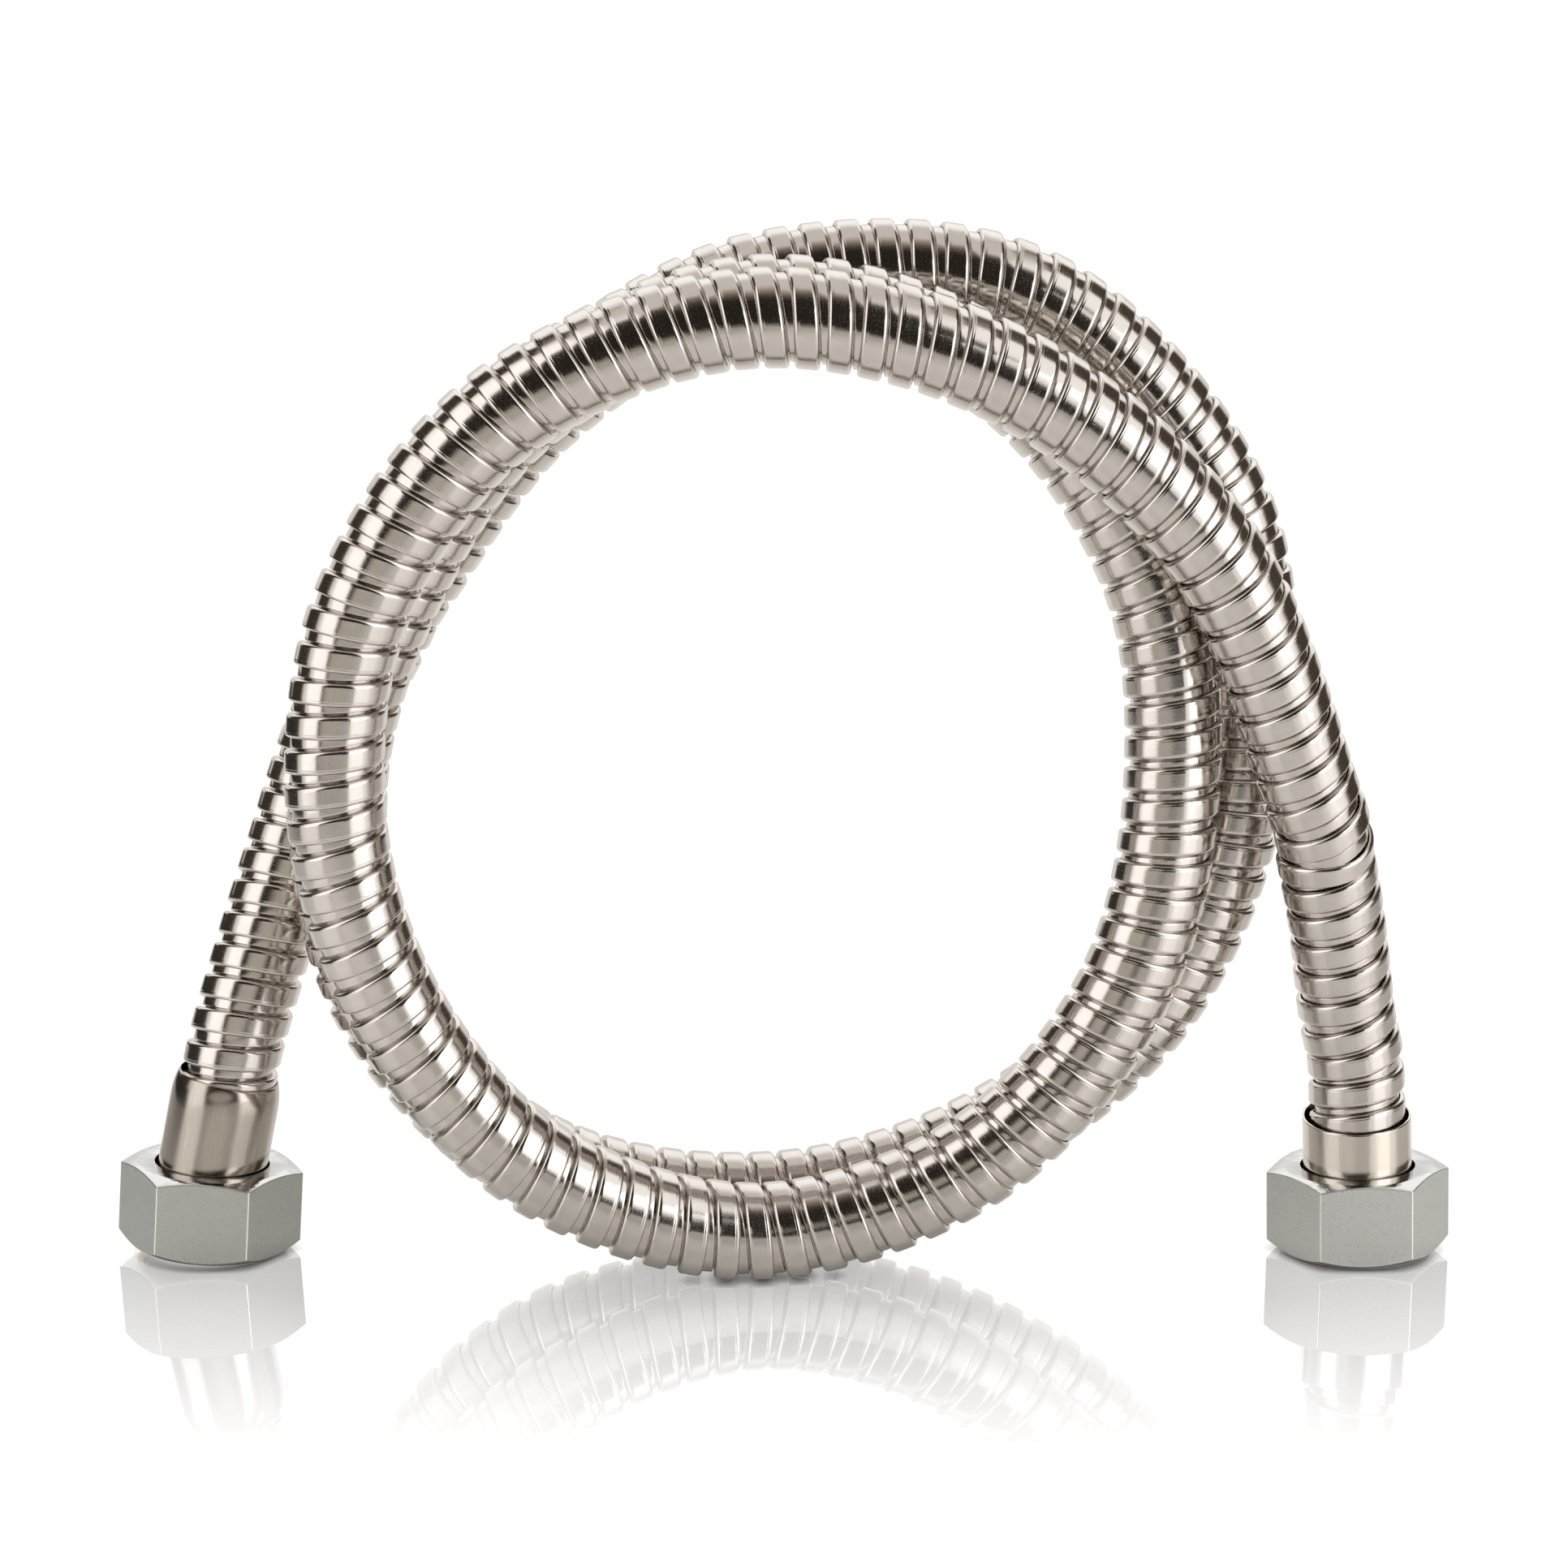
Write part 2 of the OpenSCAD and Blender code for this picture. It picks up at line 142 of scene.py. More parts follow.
class SleeveSizes(bpy.types.PropertyGroup):
    bore: length("Bore", "Inner radius of a sleeve", 7.5)
    wall: length("Wall", "Wall of a sleeve", 0.35)
    lip: length("Lip", "Radius of the lip under the nut's web", 8.8)
    lip_t: length("Lip thickness", "Thickness of the lip", 0.5)
    tap_len: length("Tap length", "Length of the rolled sleeve", 16.5)
    handset_len: length("Handset length", "Length of the plain sleeve, at its sides", 9.7)
    handset_cut: slope("Handset cut", "Slope of the plain sleeve's cut, which is lowest at the front", 7)
    rolled_rim: length("Rolled rim", "Height over which the rim turns in on the ribs", 5)
    rim_bore: length("Rim bore", "Inner radius of the rolled rim at its edge", 7.03)
    rim_edge: length("Rim edge", "Thickness of the rolled rim at its edge", 0.12)
    rim_wave: length("Rim wave", "How unevenly a rim is cut", 0.12)
    washer: length("Washer", "Outer radius of the rubber washer", 8.8)
    washer_hole: length("Washer hole", "Radius of the hole in the washer", 5)
    washer_t: length("Washer thickness", "Thickness of the washer", 1.8)


class Finishes(bpy.types.PropertyGroup):
    strip: finish("Strip", "Rolled stainless strip", "#dad4ce")
    strip_shade: finish("Strip, duller", "Stainless strip where it is duller", "#cdc6bf")
    # Painted shade and light: both sleeves are one brushed stainless. The tap sleeve's colour is darker and
    # browner as painted shade, and the handset sleeve's is lighter as painted light.
    tap_sleeve: finish("Tap sleeve", "Brushed stainless tube, browned by handling", "#9f9383")
    handset_sleeve: finish("Handset sleeve", "Brushed stainless tube", "#e9ded1")
    # Painted light: both nuts are one satin chrome. The handset nut's colours are lighter because its end
    # stands in more light, and the tap nut's are the darker, shaded copy.
    tap_satin: finish("Tap nut", "Satin chrome, dulled by handling", "#ced0cb")
    handset_satin_painted_light: finish("Handset nut", "Satin chrome", "#e3e4e0")
    turned: finish("Nut, turned faces", "Bright turned chrome", "#c9cbcc")
    brass: finish("Brass", "Turned brass", "#c9a45c")
    rubber: finish("Rubber", "Black rubber", "#26272a")
    acetal: finish("Acetal", "Natural acetal", "#e4e1d8")
    floor: finish("Floor", "White gloss sheet", "#e1e0dd")


# ---- The route ----
class Route:
    """The middle of the hose by its length from the handset end, in metres."""

    SPAN_STEPS = 64

    def __init__(self):
        knots = self.knots()
        last = len(knots) - 1
        start, stop = knots[1] - knots[0], knots[last] - knots[last - 1]
        points, directions = [], []
        for i in range(last):
            b, c = knots[i], knots[i + 1]
            a = knots[i - 1] if i else 2 * b - c
            d = knots[i + 2] if i < last - 1 else 2 * c - b
            if i == 1:
                a = c - 2 * np.linalg.norm(c - b) * start / np.linalg.norm(start)
            if i == last - 2:
                d = b + 2 * np.linalg.norm(c - b) * stop / np.linalg.norm(stop)
            t = np.arange(self.SPAN_STEPS + (i == last - 1))[:, None] / self.SPAN_STEPS
            slope, bend, twist = c - a, 2 * a - 5 * b + 4 * c - d, 3 * b - a - 3 * c + d
            points.append((2 * b + slope * t + bend * t**2 + twist * t**3) / 2)
            directions.append((slope + 2 * bend * t + 3 * twist * t**2) / 2)
        self.points = np.concatenate(points)
        self.directions = np.concatenate(directions)
        self.lengths = np.concatenate([[0], np.cumsum(np.linalg.norm(np.diff(self.points, axis=0), axis=1))])
        self.length = self.lengths[-1]

    @staticmethod
    def knots():
        handset_end = np.array(HANDSET_LIP + HANDSET_AXIS * CASING_FOOT)
        tap_end = np.array(TAP_LIP + TAP_AXIS * CASING_FOOT)
        turns = [
            (TURNS_X + reach * math.cos(i * TURN_STEP), depth, TURNS_Z + reach * math.sin(i * TURN_STEP))
            for i, (reach, depth) in enumerate(TURNS)
        ]
        between = np.array([*HANDSET_LEAD, *turns, *TAP_LEAD]) * MM
        return np.array([
            handset_end,
            handset_end + np.array(HANDSET_AXIS) * STRAIGHT * MM,
            *between,
            tap_end + np.array(TAP_AXIS) * STRAIGHT * MM,
            tap_end,
        ])

    def at(self, s):
        """The middle of the hose at each length in s, and unit vectors along it and across it: one near +Y,
        and one near the turns' radius. Past an end it goes straight on."""
        s = np.asarray(s, float)
        inside = np.clip(s, 0, self.length)
        middle = np.stack([np.interp(inside, self.lengths, self.points[:, k]) for k in range(3)], axis=1)
        along = np.stack([np.interp(inside, self.lengths, self.directions[:, k]) for k in range(3)], axis=1)
        along /= np.linalg.norm(along, axis=1, keepdims=True)
        middle += along * (s - inside)[:, None]
        front = np.array([0.0, 1.0, 0.0])
        across = front - along[:, 1:2] * along
        across /= np.linalg.norm(across, axis=1, keepdims=True)
        return middle, along, across, np.cross(along, across)


# ---- Meshes ----
def new_object(name, data):
    """An object with this data, in the scene."""
    made = bpy.data.objects.new(name, data)
    bpy.context.scene.collection.objects.link(made)
    return made


def skin(name, points, joined=(False, False), uv=None, zones=None):
    """An object whose mesh covers a grid of points, rows by columns, each row and column joined to the next
    and, where joined says so, the last to the first. Its faces look to the left of the columns as the rows go
    up. uv is a pair of numbers for each point, and zones a material's number for each row of faces."""
    rows, columns = points.shape[:2]
    i = np.arange(rows if joined[0] else rows - 1)[:, None]
    j = np.arange(columns if joined[1] else columns - 1)[None, :]
    below, above = i * columns, (i + 1) % rows * columns
    here, there = j, (j + 1) % columns
    faces = np.stack([below + here, below + there, above + there, above + here], axis=2).reshape(-1, 4)
    mesh = bpy.data.meshes.new(name)
    mesh.from_pydata(points.reshape(-1, 3).tolist(), [], faces.tolist())
    mesh.polygons.foreach_set("use_smooth", np.ones(len(faces), dtype=bool))
    if zones is not None:
        mesh.polygons.foreach_set("material_index", np.repeat(np.asarray(zones, dtype=np.int32), j.size))
    if uv is not None:
        layer = mesh.uv_layers.new(name="strip")
        layer.data.foreach_set("uv", uv.reshape(-1, 2)[faces.reshape(-1)].reshape(-1))
    mesh.update()
    return new_object(name, mesh)


def arc(centre, radius, first, last, steps):
    """Points along an arc as (height along the axis, radius from it), with its angles in degrees."""
    angles = np.radians(np.linspace(first, last, steps + 1))
    return [(centre[0] + radius * math.cos(a), centre[1] + radius * math.sin(a)) for a in angles]


def lathe(name, profile, angles, shape=None):
    """A closed piece turned about its own Z from a closed profile of (radius, height), which runs
    anticlockwise. shape, where given, moves the profile's points for each angle."""
    profile = np.array(profile, float)
    radius = np.repeat(profile[:, :1], len(angles), axis=1)
    height = np.repeat(profile[:, 1:], len(angles), axis=1)
    if shape is not None:
        radius, height = shape(radius, height, angles[None, :])
    points = np.stack([radius * np.cos(angles), radius * np.sin(angles), height], axis=2)
    return skin(name, points[:, ::-1], joined=(True, True))


def round_angles(count):
    return np.arange(count) * FULL_TURN / count


def place(obj, foot, axis, spin=0.0):
    """Stands a piece made about its own Z on foot, along axis. Its own coordinates stay with it, for its
    finish."""
    mesh = obj.data
    points = np.empty(len(mesh.vertices) * 3, dtype=np.float32)
    mesh.vertices.foreach_get("co", points)
    mesh.attributes.new("own", "FLOAT_VECTOR", "POINT").data.foreach_set("vector", points)
    turn = Vector((0, 0, 1)).rotation_difference(axis).to_matrix().to_4x4()
    mesh.transform(Matrix.Translation(foot) @ turn @ Matrix.Rotation(spin, 4, "Z"))


# ---- Materials ----
NUMBERS = {"data_type": "FLOAT"}
COLOURS = {"data_type": "RGBA"}
SMOOTH = {"interpolation_type": "SMOOTHSTEP"}
# Between these, noise has nearly all of its values.
NOISE = {"From Min": 0.3, "From Max": 0.7}
# Above these, it has a few specks only.
SPECKS = {"From Min": 0.6, "From Max": 0.72}


def add_node(tree, kind, settings=None, inputs=None):
    """Adds one node to a tree, with its settings and with what its sockets take: each a value, or a link from
    a socket or from a node's first one."""
    made = tree.nodes.new(kind)
    for name, value in (settings or {}).items():
        setattr(made, name, value)
    for socket, source in (inputs or {}).items():
        if isinstance(source, bpy.types.Node):
            source = source.outputs[0]
        if isinstance(source, bpy.types.NodeSocket):
            tree.links.new(source, made.inputs[socket])
        else:
            made.inputs[socket].default_value = source
    return made


def cleared(block):
    """The node tree of a new material or world, empty."""
    block.use_nodes = True
    block.node_tree.nodes.clear()
    return block.node_tree


def new_surface(name, values):
    """A material with one Principled shader, whose sockets take these values."""
    made = bpy.data.materials.new(name)
    tree = cleared(made)
    shader = add_node(tree, "ShaderNodeBsdfPrincipled", inputs=values)
    add_node(tree, "ShaderNodeOutputMaterial", inputs={"Surface": shader})
    return made, tree, shader


def dress(shader, colour, roughness, bump):
    """Links the nodes that a surface's colour, roughness and normal follow."""
    links = shader.id_data.links
    links.new(colour.outputs[2], shader.inputs["Base Color"])
    links.new(roughness.outputs[0], shader.inputs["Roughness"])
    links.new(bump.outputs[0], shader.inputs["Normal"])


def grain(tree, coordinates, spacing, detail=3.0):
    """Noise whose grains have this spacing, or a spacing along each axis, in the coordinates' units."""
    scale = [1 / s for s in np.broadcast_to(spacing, 3)]
    scaled = add_node(tree, "ShaderNodeMapping", inputs={"Vector": coordinates, "Scale": scale})
    inputs = {"Vector": scaled, "Scale": 1.0, "Detail": detail}
    return add_node(tree, "ShaderNodeTexNoise", inputs=inputs).outputs["Fac"]


def row_coordinates(tree):
    return add_node(tree, "ShaderNodeTexCoord").outputs["Object"]


def own_coordinates(tree):
    """Those in which a piece was made, before it was placed."""
    return add_node(tree, "ShaderNodeAttribute", {"attribute_name": "own"}).outputs["Vector"]


def round_coordinates(tree):
    """Radius, angle and height about a piece's own Z, with the angle in radians."""
    apart = add_node(tree, "ShaderNodeSeparateXYZ", inputs={0: own_coordinates(tree)})
    x, y, z = apart.outputs
    angle = add_node(tree, "ShaderNodeMath", {"operation": "ARCTAN2"}, {0: y, 1: x})
    flat = add_node(tree, "ShaderNodeCombineXYZ", inputs={0: x, 1: y})
    radius = add_node(tree, "ShaderNodeVectorMath", {"operation": "LENGTH"}, {0: flat})
    inputs = {0: radius.outputs["Value"], 1: angle, 2: z}
    return add_node(tree, "ShaderNodeCombineXYZ", inputs=inputs).outputs[0]


def strip_steel(look):
    """Stainless strip, cold rolled bright and wound: a near mirror with fine lines drawn along the strip,
    which smear its reflections a little across them, shallow chatter from the rollers across the strip, and
    duller patches where they slipped."""
    made, tree, shader = new_surface("strip_steel", {"Metallic": 1.0})
    along = add_node(tree, "ShaderNodeUVMap", {"uv_map": "strip"})
    # Drawn lines are 0.02 mm apart, and drawn here as 0.09 mm, so that they show.
    lines = grain(tree, along, (9 * MM, 0.09 * MM, 1))
    specks = grain(tree, along, (0.2 * MM, 0.12 * MM, 1), detail=2.0)
    patches = grain(tree, along, (6 * MM, 2.5 * MM, 1))
    chatter = grain(tree, along, (1.1 * MM, 9 * MM, 1), detail=2.0)
    colour = add_node(tree, "ShaderNodeMix", COLOURS, {0: patches, 6: look.strip, 7: look.strip_shade})
    inputs = {"Value": lines, **NOISE, "To Min": 0.09, "To Max": 0.17}
    smooth = add_node(tree, "ShaderNodeMapRange", inputs=inputs)
    inputs = {"Value": specks, **SPECKS, "To Min": 0.0, "To Max": 0.25}
    scuffs = add_node(tree, "ShaderNodeMapRange", inputs=inputs)
    worn = add_node(tree, "ShaderNodeMath", {"operation": "ADD"}, {0: smooth, 1: scuffs})
    fine = add_node(tree, "ShaderNodeBump", inputs={"Height": specks, "Distance": 0.004 * MM})
    inputs = {"Height": lines, "Distance": 0.003 * MM, "Normal": fine}
    drawn = add_node(tree, "ShaderNodeBump", inputs=inputs)
    inputs = {"Height": chatter, "Distance": 0.009 * MM, "Normal": drawn}
    rolled = add_node(tree, "ShaderNodeBump", inputs=inputs)
    dress(shader, colour, worn, rolled)
    return made


def sleeve_steel(name, colour, shade):
    """Stainless tube, brushed along its length: short fine scratches up and down, so that it reflects in
    soft upright bands, warmer and duller than the strip."""
    made, tree, shader = new_surface(name, {"Metallic": 1.0})
    around = round_coordinates(tree)
    # 80 grit leaves scratches 0.05 mm wide, drawn here as 0.12 mm, so that they show.
    scratches = grain(tree, around, (1, 0.016, 5 * MM))
    streaked = add_node(tree, "ShaderNodeMix", COLOURS, {0: scratches, 6: colour, 7: shade})
    inputs = {"Value": scratches, **NOISE, "To Min": 0.15, "To Max": 0.21}
    brushed = add_node(tree, "ShaderNodeMapRange", inputs=inputs)
    scored = add_node(tree, "ShaderNodeBump", inputs={"Height": scratches, "Distance": 0.003 * MM})
    dress(shader, streaked, brushed, scored)
    return made


def satin_chrome(name, colour, shade):
    """Brass nut, bead blasted and chromed satin: an even, soft grey with the blast's fine grain and a few
    darker pits. Its corners are smoother from wear, and painted near white as a painted highlight."""
    made, tree, shader = new_surface(name, {"Metallic": 1.0})
    own = own_coordinates(tree)
    blast = grain(tree, own, 0.22 * MM, detail=4.0)
    clouds = grain(tree, own, 3 * MM)
    inputs = {"Value": blast, **SPECKS, "To Min": 0.0, "To Max": 0.8}
    pits = add_node(tree, "ShaderNodeMapRange", inputs=inputs)
    even = add_node(tree, "ShaderNodeMix", COLOURS, {0: clouds, 6: colour, 7: shade}).outputs[2]
    dull = add_node(tree, "ShaderNodeMix", COLOURS, {0: pits, 6: even, 7: linear("#9d9d98")}).outputs[2]
    turn = add_node(tree, "ShaderNodeSeparateXYZ", inputs={0: round_coordinates(tree)}).outputs[1]
    # The corners are 60 degrees apart, so this is how far off the nearest one is.
    off = add_node(tree, "ShaderNodeMath", {"operation": "PINGPONG"}, {0: turn, 1: math.pi / 6})
    inputs = {"Value": off, "From Min": 0.007, "From Max": 0.014, "To Min": 1.0, "To Max": 0.0}
    rubbed_corner_and_highlight = add_node(tree, "ShaderNodeMapRange", inputs=inputs)
    # Painted highlight: near the corners the colour turns near white, as the bright line of light along them.
    # The lower roughness there is real wear.
    worn = add_node(tree, "ShaderNodeMix", COLOURS, {0: rubbed_corner_and_highlight, 6: dull, 7: linear("#f4f3f0")})
    rough = add_node(tree, "ShaderNodeMix", NUMBERS, {0: rubbed_corner_and_highlight, 2: 0.4, 3: 0.13})
    blasted = add_node(tree, "ShaderNodeBump", inputs={"Height": blast, "Distance": 0.03 * MM})
    dress(shader, worn, rough, blasted)
    return made


def turned_chrome(look):
    """The nut's turned faces, chromed bright: a mirror with fine rings left by the tool."""
    made, tree, shader = new_surface("turned_chrome", {"Metallic": 1.0})
    around = round_coordinates(tree)
    # The tool's feed is 0.08 mm a turn, drawn here as 0.14 mm.
    rings = grain(tree, around, (0.14 * MM, 2, 0.14 * MM), detail=2.0)
    waves = grain(tree, own_coordinates(tree), 2.5 * MM)
    colour = add_node(tree, "ShaderNodeMix", COLOURS, {0: rings, 6: look.turned, 7: linear("#d6d5d0")})
    inputs = {"Value": rings, **NOISE, "To Min": 0.05, "To Max": 0.1}
    bright = add_node(tree, "ShaderNodeMapRange", inputs=inputs)
    polished = add_node(tree, "ShaderNodeBump", inputs={"Height": waves, "Distance": 0.12 * MM})
    inputs = {"Height": rings, "Distance": 0.01 * MM, "Normal": polished}
    dress(shader, colour, bright, add_node(tree, "ShaderNodeBump", inputs=inputs))
    return made


def turned_brass(look, name, coordinates):
    """Brass turned on a lathe and left bare: yellow, with rings from the tool and a first brown tarnish."""
    made, tree, shader = new_surface(name, {"Metallic": 1.0})
    own = coordinates(tree)
    rings = grain(tree, own, (6 * MM, 6 * MM, 0.15 * MM), detail=2.0)
    tarnish = grain(tree, own, 3 * MM)
    colour = add_node(tree, "ShaderNodeMix", COLOURS, {0: tarnish, 6: look.brass, 7: linear("#a98447")})
    inputs = {"Value": rings, **NOISE, "To Min": 0.2, "To Max": 0.32}
    rough = add_node(tree, "ShaderNodeMapRange", inputs=inputs)
    bump = add_node(tree, "ShaderNodeBump", inputs={"Height": rings, "Distance": 0.005 * MM})
    dress(shader, colour, rough, bump)
    return made


def black_rubber(look):
    """EPDM rubber, extruded or moulded: near black and dull, with a bloom of paler dust."""
    made, tree, shader = new_surface("black_rubber", {"IOR": 1.52})
    own = row_coordinates(tree)
    bloom = grain(tree, own, 2 * MM)
    pores = grain(tree, own, 0.2 * MM, detail=2.0)
    colour = add_node(tree, "ShaderNodeMix", COLOURS, {0: bloom, 6: look.rubber, 7: linear("#3a3b3d")})
    inputs = {"Value": bloom, **NOISE, "To Min": 0.5, "To Max": 0.65}
    rough = add_node(tree, "ShaderNodeMapRange", inputs=inputs)
    bump = add_node(tree, "ShaderNodeBump", inputs={"Height": pores, "Distance": 0.01 * MM})
    dress(shader, colour, rough, bump)
    return made


def moulded_acetal(look):
    """Acetal, injection moulded: a smooth, slightly waxy off-white."""
    made, tree, shader = new_surface("moulded_acetal", {"IOR": 1.48})
    own = row_coordinates(tree)
    flow = grain(tree, own, 4 * MM)
    spark = grain(tree, own, 0.15 * MM, detail=2.0)
    colour = add_node(tree, "ShaderNodeMix", COLOURS, {0: flow, 6: look.acetal, 7: linear("#d6d2c6")})
    inputs = {"Value": flow, **NOISE, "To Min": 0.32, "To Max": 0.42}
    rough = add_node(tree, "ShaderNodeMapRange", inputs=inputs)
    bump = add_node(tree, "ShaderNodeBump", inputs={"Height": spark, "Distance": 0.004 * MM})
    dress(shader, colour, rough, bump)
    return made


def finish_node(name, material):
    """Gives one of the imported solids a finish."""
    for slot in frame["nodes"][name].material_slots:
        slot.material = material


# ---- Operators ----
class SHOWERHOSE_OT_camera(bpy.types.Operator):
    """Place the camera in front of the hose, a little above it"""

    bl_idname = "showerhose.camera"
    bl_label = "Place the camera"

    PLACE = (0.0, -0.79087, 0.25188)
    PITCH = math.radians(77)
    LENS = 130.43
    SENSOR = 36

    def execute(self, context):
        data = bpy.data.cameras.new("camera")
        data.lens = self.LENS
        data.sensor_width = self.SENSOR
        camera = new_object("camera", data)
        camera.location = self.PLACE
        camera.rotation_euler = (self.PITCH, 0, 0)
        context.scene.camera = camera
        return {"FINISHED"}


class SHOWERHOSE_OT_casing(bpy.types.Operator):
    """Wind the steel strip of the casing along the hose's route"""

    bl_idname = "showerhose.casing"
    bl_label = "Wind the casing"

    # How far the strip's tail runs in under the rib before it.
    TAIL = 1.0 * MM
    # A crease beside the rib, where the strip steps down to the groove.
    CREASE_W = 0.24 * MM
    CREASE_DEPTH = 0.5 * MM
    # What stays open between a rib's lip and the strip that slides under it.
    LIP_GAP = 0.14 * MM
    # The lip's rounded edge starts with a fine crease.
    LIP_ROUND = 0.6 * MM
    LINE_W = 0.16 * MM
    LINE_DEPTH = 0.035 * MM
    CREASE_ROUND = 0.12 * MM
    # The winding wanders by this much along the hose, and by a third of it in its radius, in slow waves that
    # don't repeat.
    WANDER = 0.05 * MM
    # How far the first and last turns stay from the casing's ends.
    END_GAP = 0.3 * MM
    PATH_POINTS = 800

    def profile(self, sizes):
        """The strip's cross-section, as (height along the hose, radius), from its tail in the groove over the
        rib to its lip. The middle of the rib is at height 0."""
        top = sizes.casing_od / 2
        floor = top - sizes.groove_depth
        half = sizes.rib_width / 2
        line = half - self.LIP_ROUND - self.LINE_W / 2
        r = sizes.edge_round
        wall = -half
        lip_foot = floor + self.LIP_GAP
        tail = half - sizes.pitch - self.TAIL
        groove_edge = wall - self.CREASE_W
        crease = self.CREASE_ROUND
        return [
            (tail, floor - 0.1 * MM),
            (tail + 0.6 * MM, floor),
            (groove_edge - 0.35 * MM, floor),
            (groove_edge - crease, floor),
            *arc((groove_edge - crease, floor - crease), crease, 60, 0, 2),
            (groove_edge + 0.05 * MM, floor - self.CREASE_DEPTH),
            (wall + 0.04 * MM, floor - self.CREASE_DEPTH),
            (wall, floor - 0.1 * MM),
            *arc((wall + r, top - r), r, 180, 90, 6),
            (wall + r + 0.15 * MM, top),
            (line - self.LINE_W, top),
            (line - self.LINE_W / 2, top),
            (line, top - self.LINE_DEPTH),
            *arc((half - self.LIP_ROUND, top - self.LIP_ROUND), self.LIP_ROUND, 85, 0, 6),
            (half, lip_foot + 0.06 * MM),
            (half - 0.05 * MM, lip_foot),
            (half - sizes.strip_t + 0.05 * MM, lip_foot),
            (half - sizes.strip_t, lip_foot + 0.08 * MM),
            (half - sizes.strip_t - 0.3 * MM, top - sizes.strip_t),
            (half - 4 * sizes.strip_t, top - sizes.strip_t),
        ]

    def execute(self, context):
        sizes = context.scene.hose_sizes
        route = Route()
        profile = np.array(self.profile(sizes))
        start = self.END_GAP - profile[0, 0]
        stop = route.length - self.END_GAP - sizes.rib_width / 2
        steps = int((stop - start) / sizes.pitch * sizes.sides)
        k = np.arange(steps + 1)
        turn = k / sizes.sides * FULL_TURN
        middle, along, across, outward = route.at(start + sizes.pitch * k / sizes.sides)
        spoke = np.cos(turn)[:, None] * across + np.sin(turn)[:, None] * outward
        shift = self.WANDER * np.sin(turn * 0.37) * np.sin(turn * 0.083 + 1)
        swell = self.WANDER / 3 * (np.sin(turn * 0.21 + 2) - 1)
        height = profile[None, :, 0] + shift[:, None]
        radius = profile[None, :, 1] + swell[:, None]
        points = middle[:, None] + height[..., None] * along[:, None] + radius[..., None] * spoke[:, None]
        run = np.repeat((turn * sizes.casing_od / 2)[:, None], len(profile), axis=1)
        girth = np.concatenate([[0], np.cumsum(np.linalg.norm(np.diff(profile, axis=0), axis=1))])
        uv = np.stack([run, np.repeat(girth[None], steps + 1, axis=0)], axis=2)
        casing = skin("casing_strip", points, uv=uv)
        casing.data.materials.append(strip_steel(context.scene.hose_finishes))
        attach(casing, "hose")
        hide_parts("steel_casing")
        path = route.at(np.linspace(0, route.length, self.PATH_POINTS))[0]
        return {"FINISHED"}


class SHOWERHOSE_OT_tube(bpy.types.Operator):
    """Run the rubber water tube through the casing"""

    bl_idname = "showerhose.tube"
    bl_label = "Run the water tube"

    STATIONS = 420
    SIDES = 24

    def execute(self, context):
        sizes = context.scene.hose_sizes
        route = Route()
        out = CASING_FOOT - TUBE_FOOT
        s = np.linspace(-out, route.length + out, self.STATIONS)
        middle, _, across, outward = route.at(s)
        angles = round_angles(self.SIDES)
        spokes = np.cos(angles)[:, None] * across[:, None] + np.sin(angles)[:, None] * outward[:, None]
        bore = sizes.tube_bore / 2
        outside = middle[:, None] + (bore + sizes.tube_wall) * spokes
        inside = middle[:, None] + bore * spokes
        tube = skin("water_tube_run", np.concatenate([outside, inside[::-1]])[:, ::-1], joined=(True, True))
        tube.data.materials.append(black_rubber(context.scene.hose_finishes))
        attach(tube, "hose")
        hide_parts("water_tube")
        return {"FINISHED"}


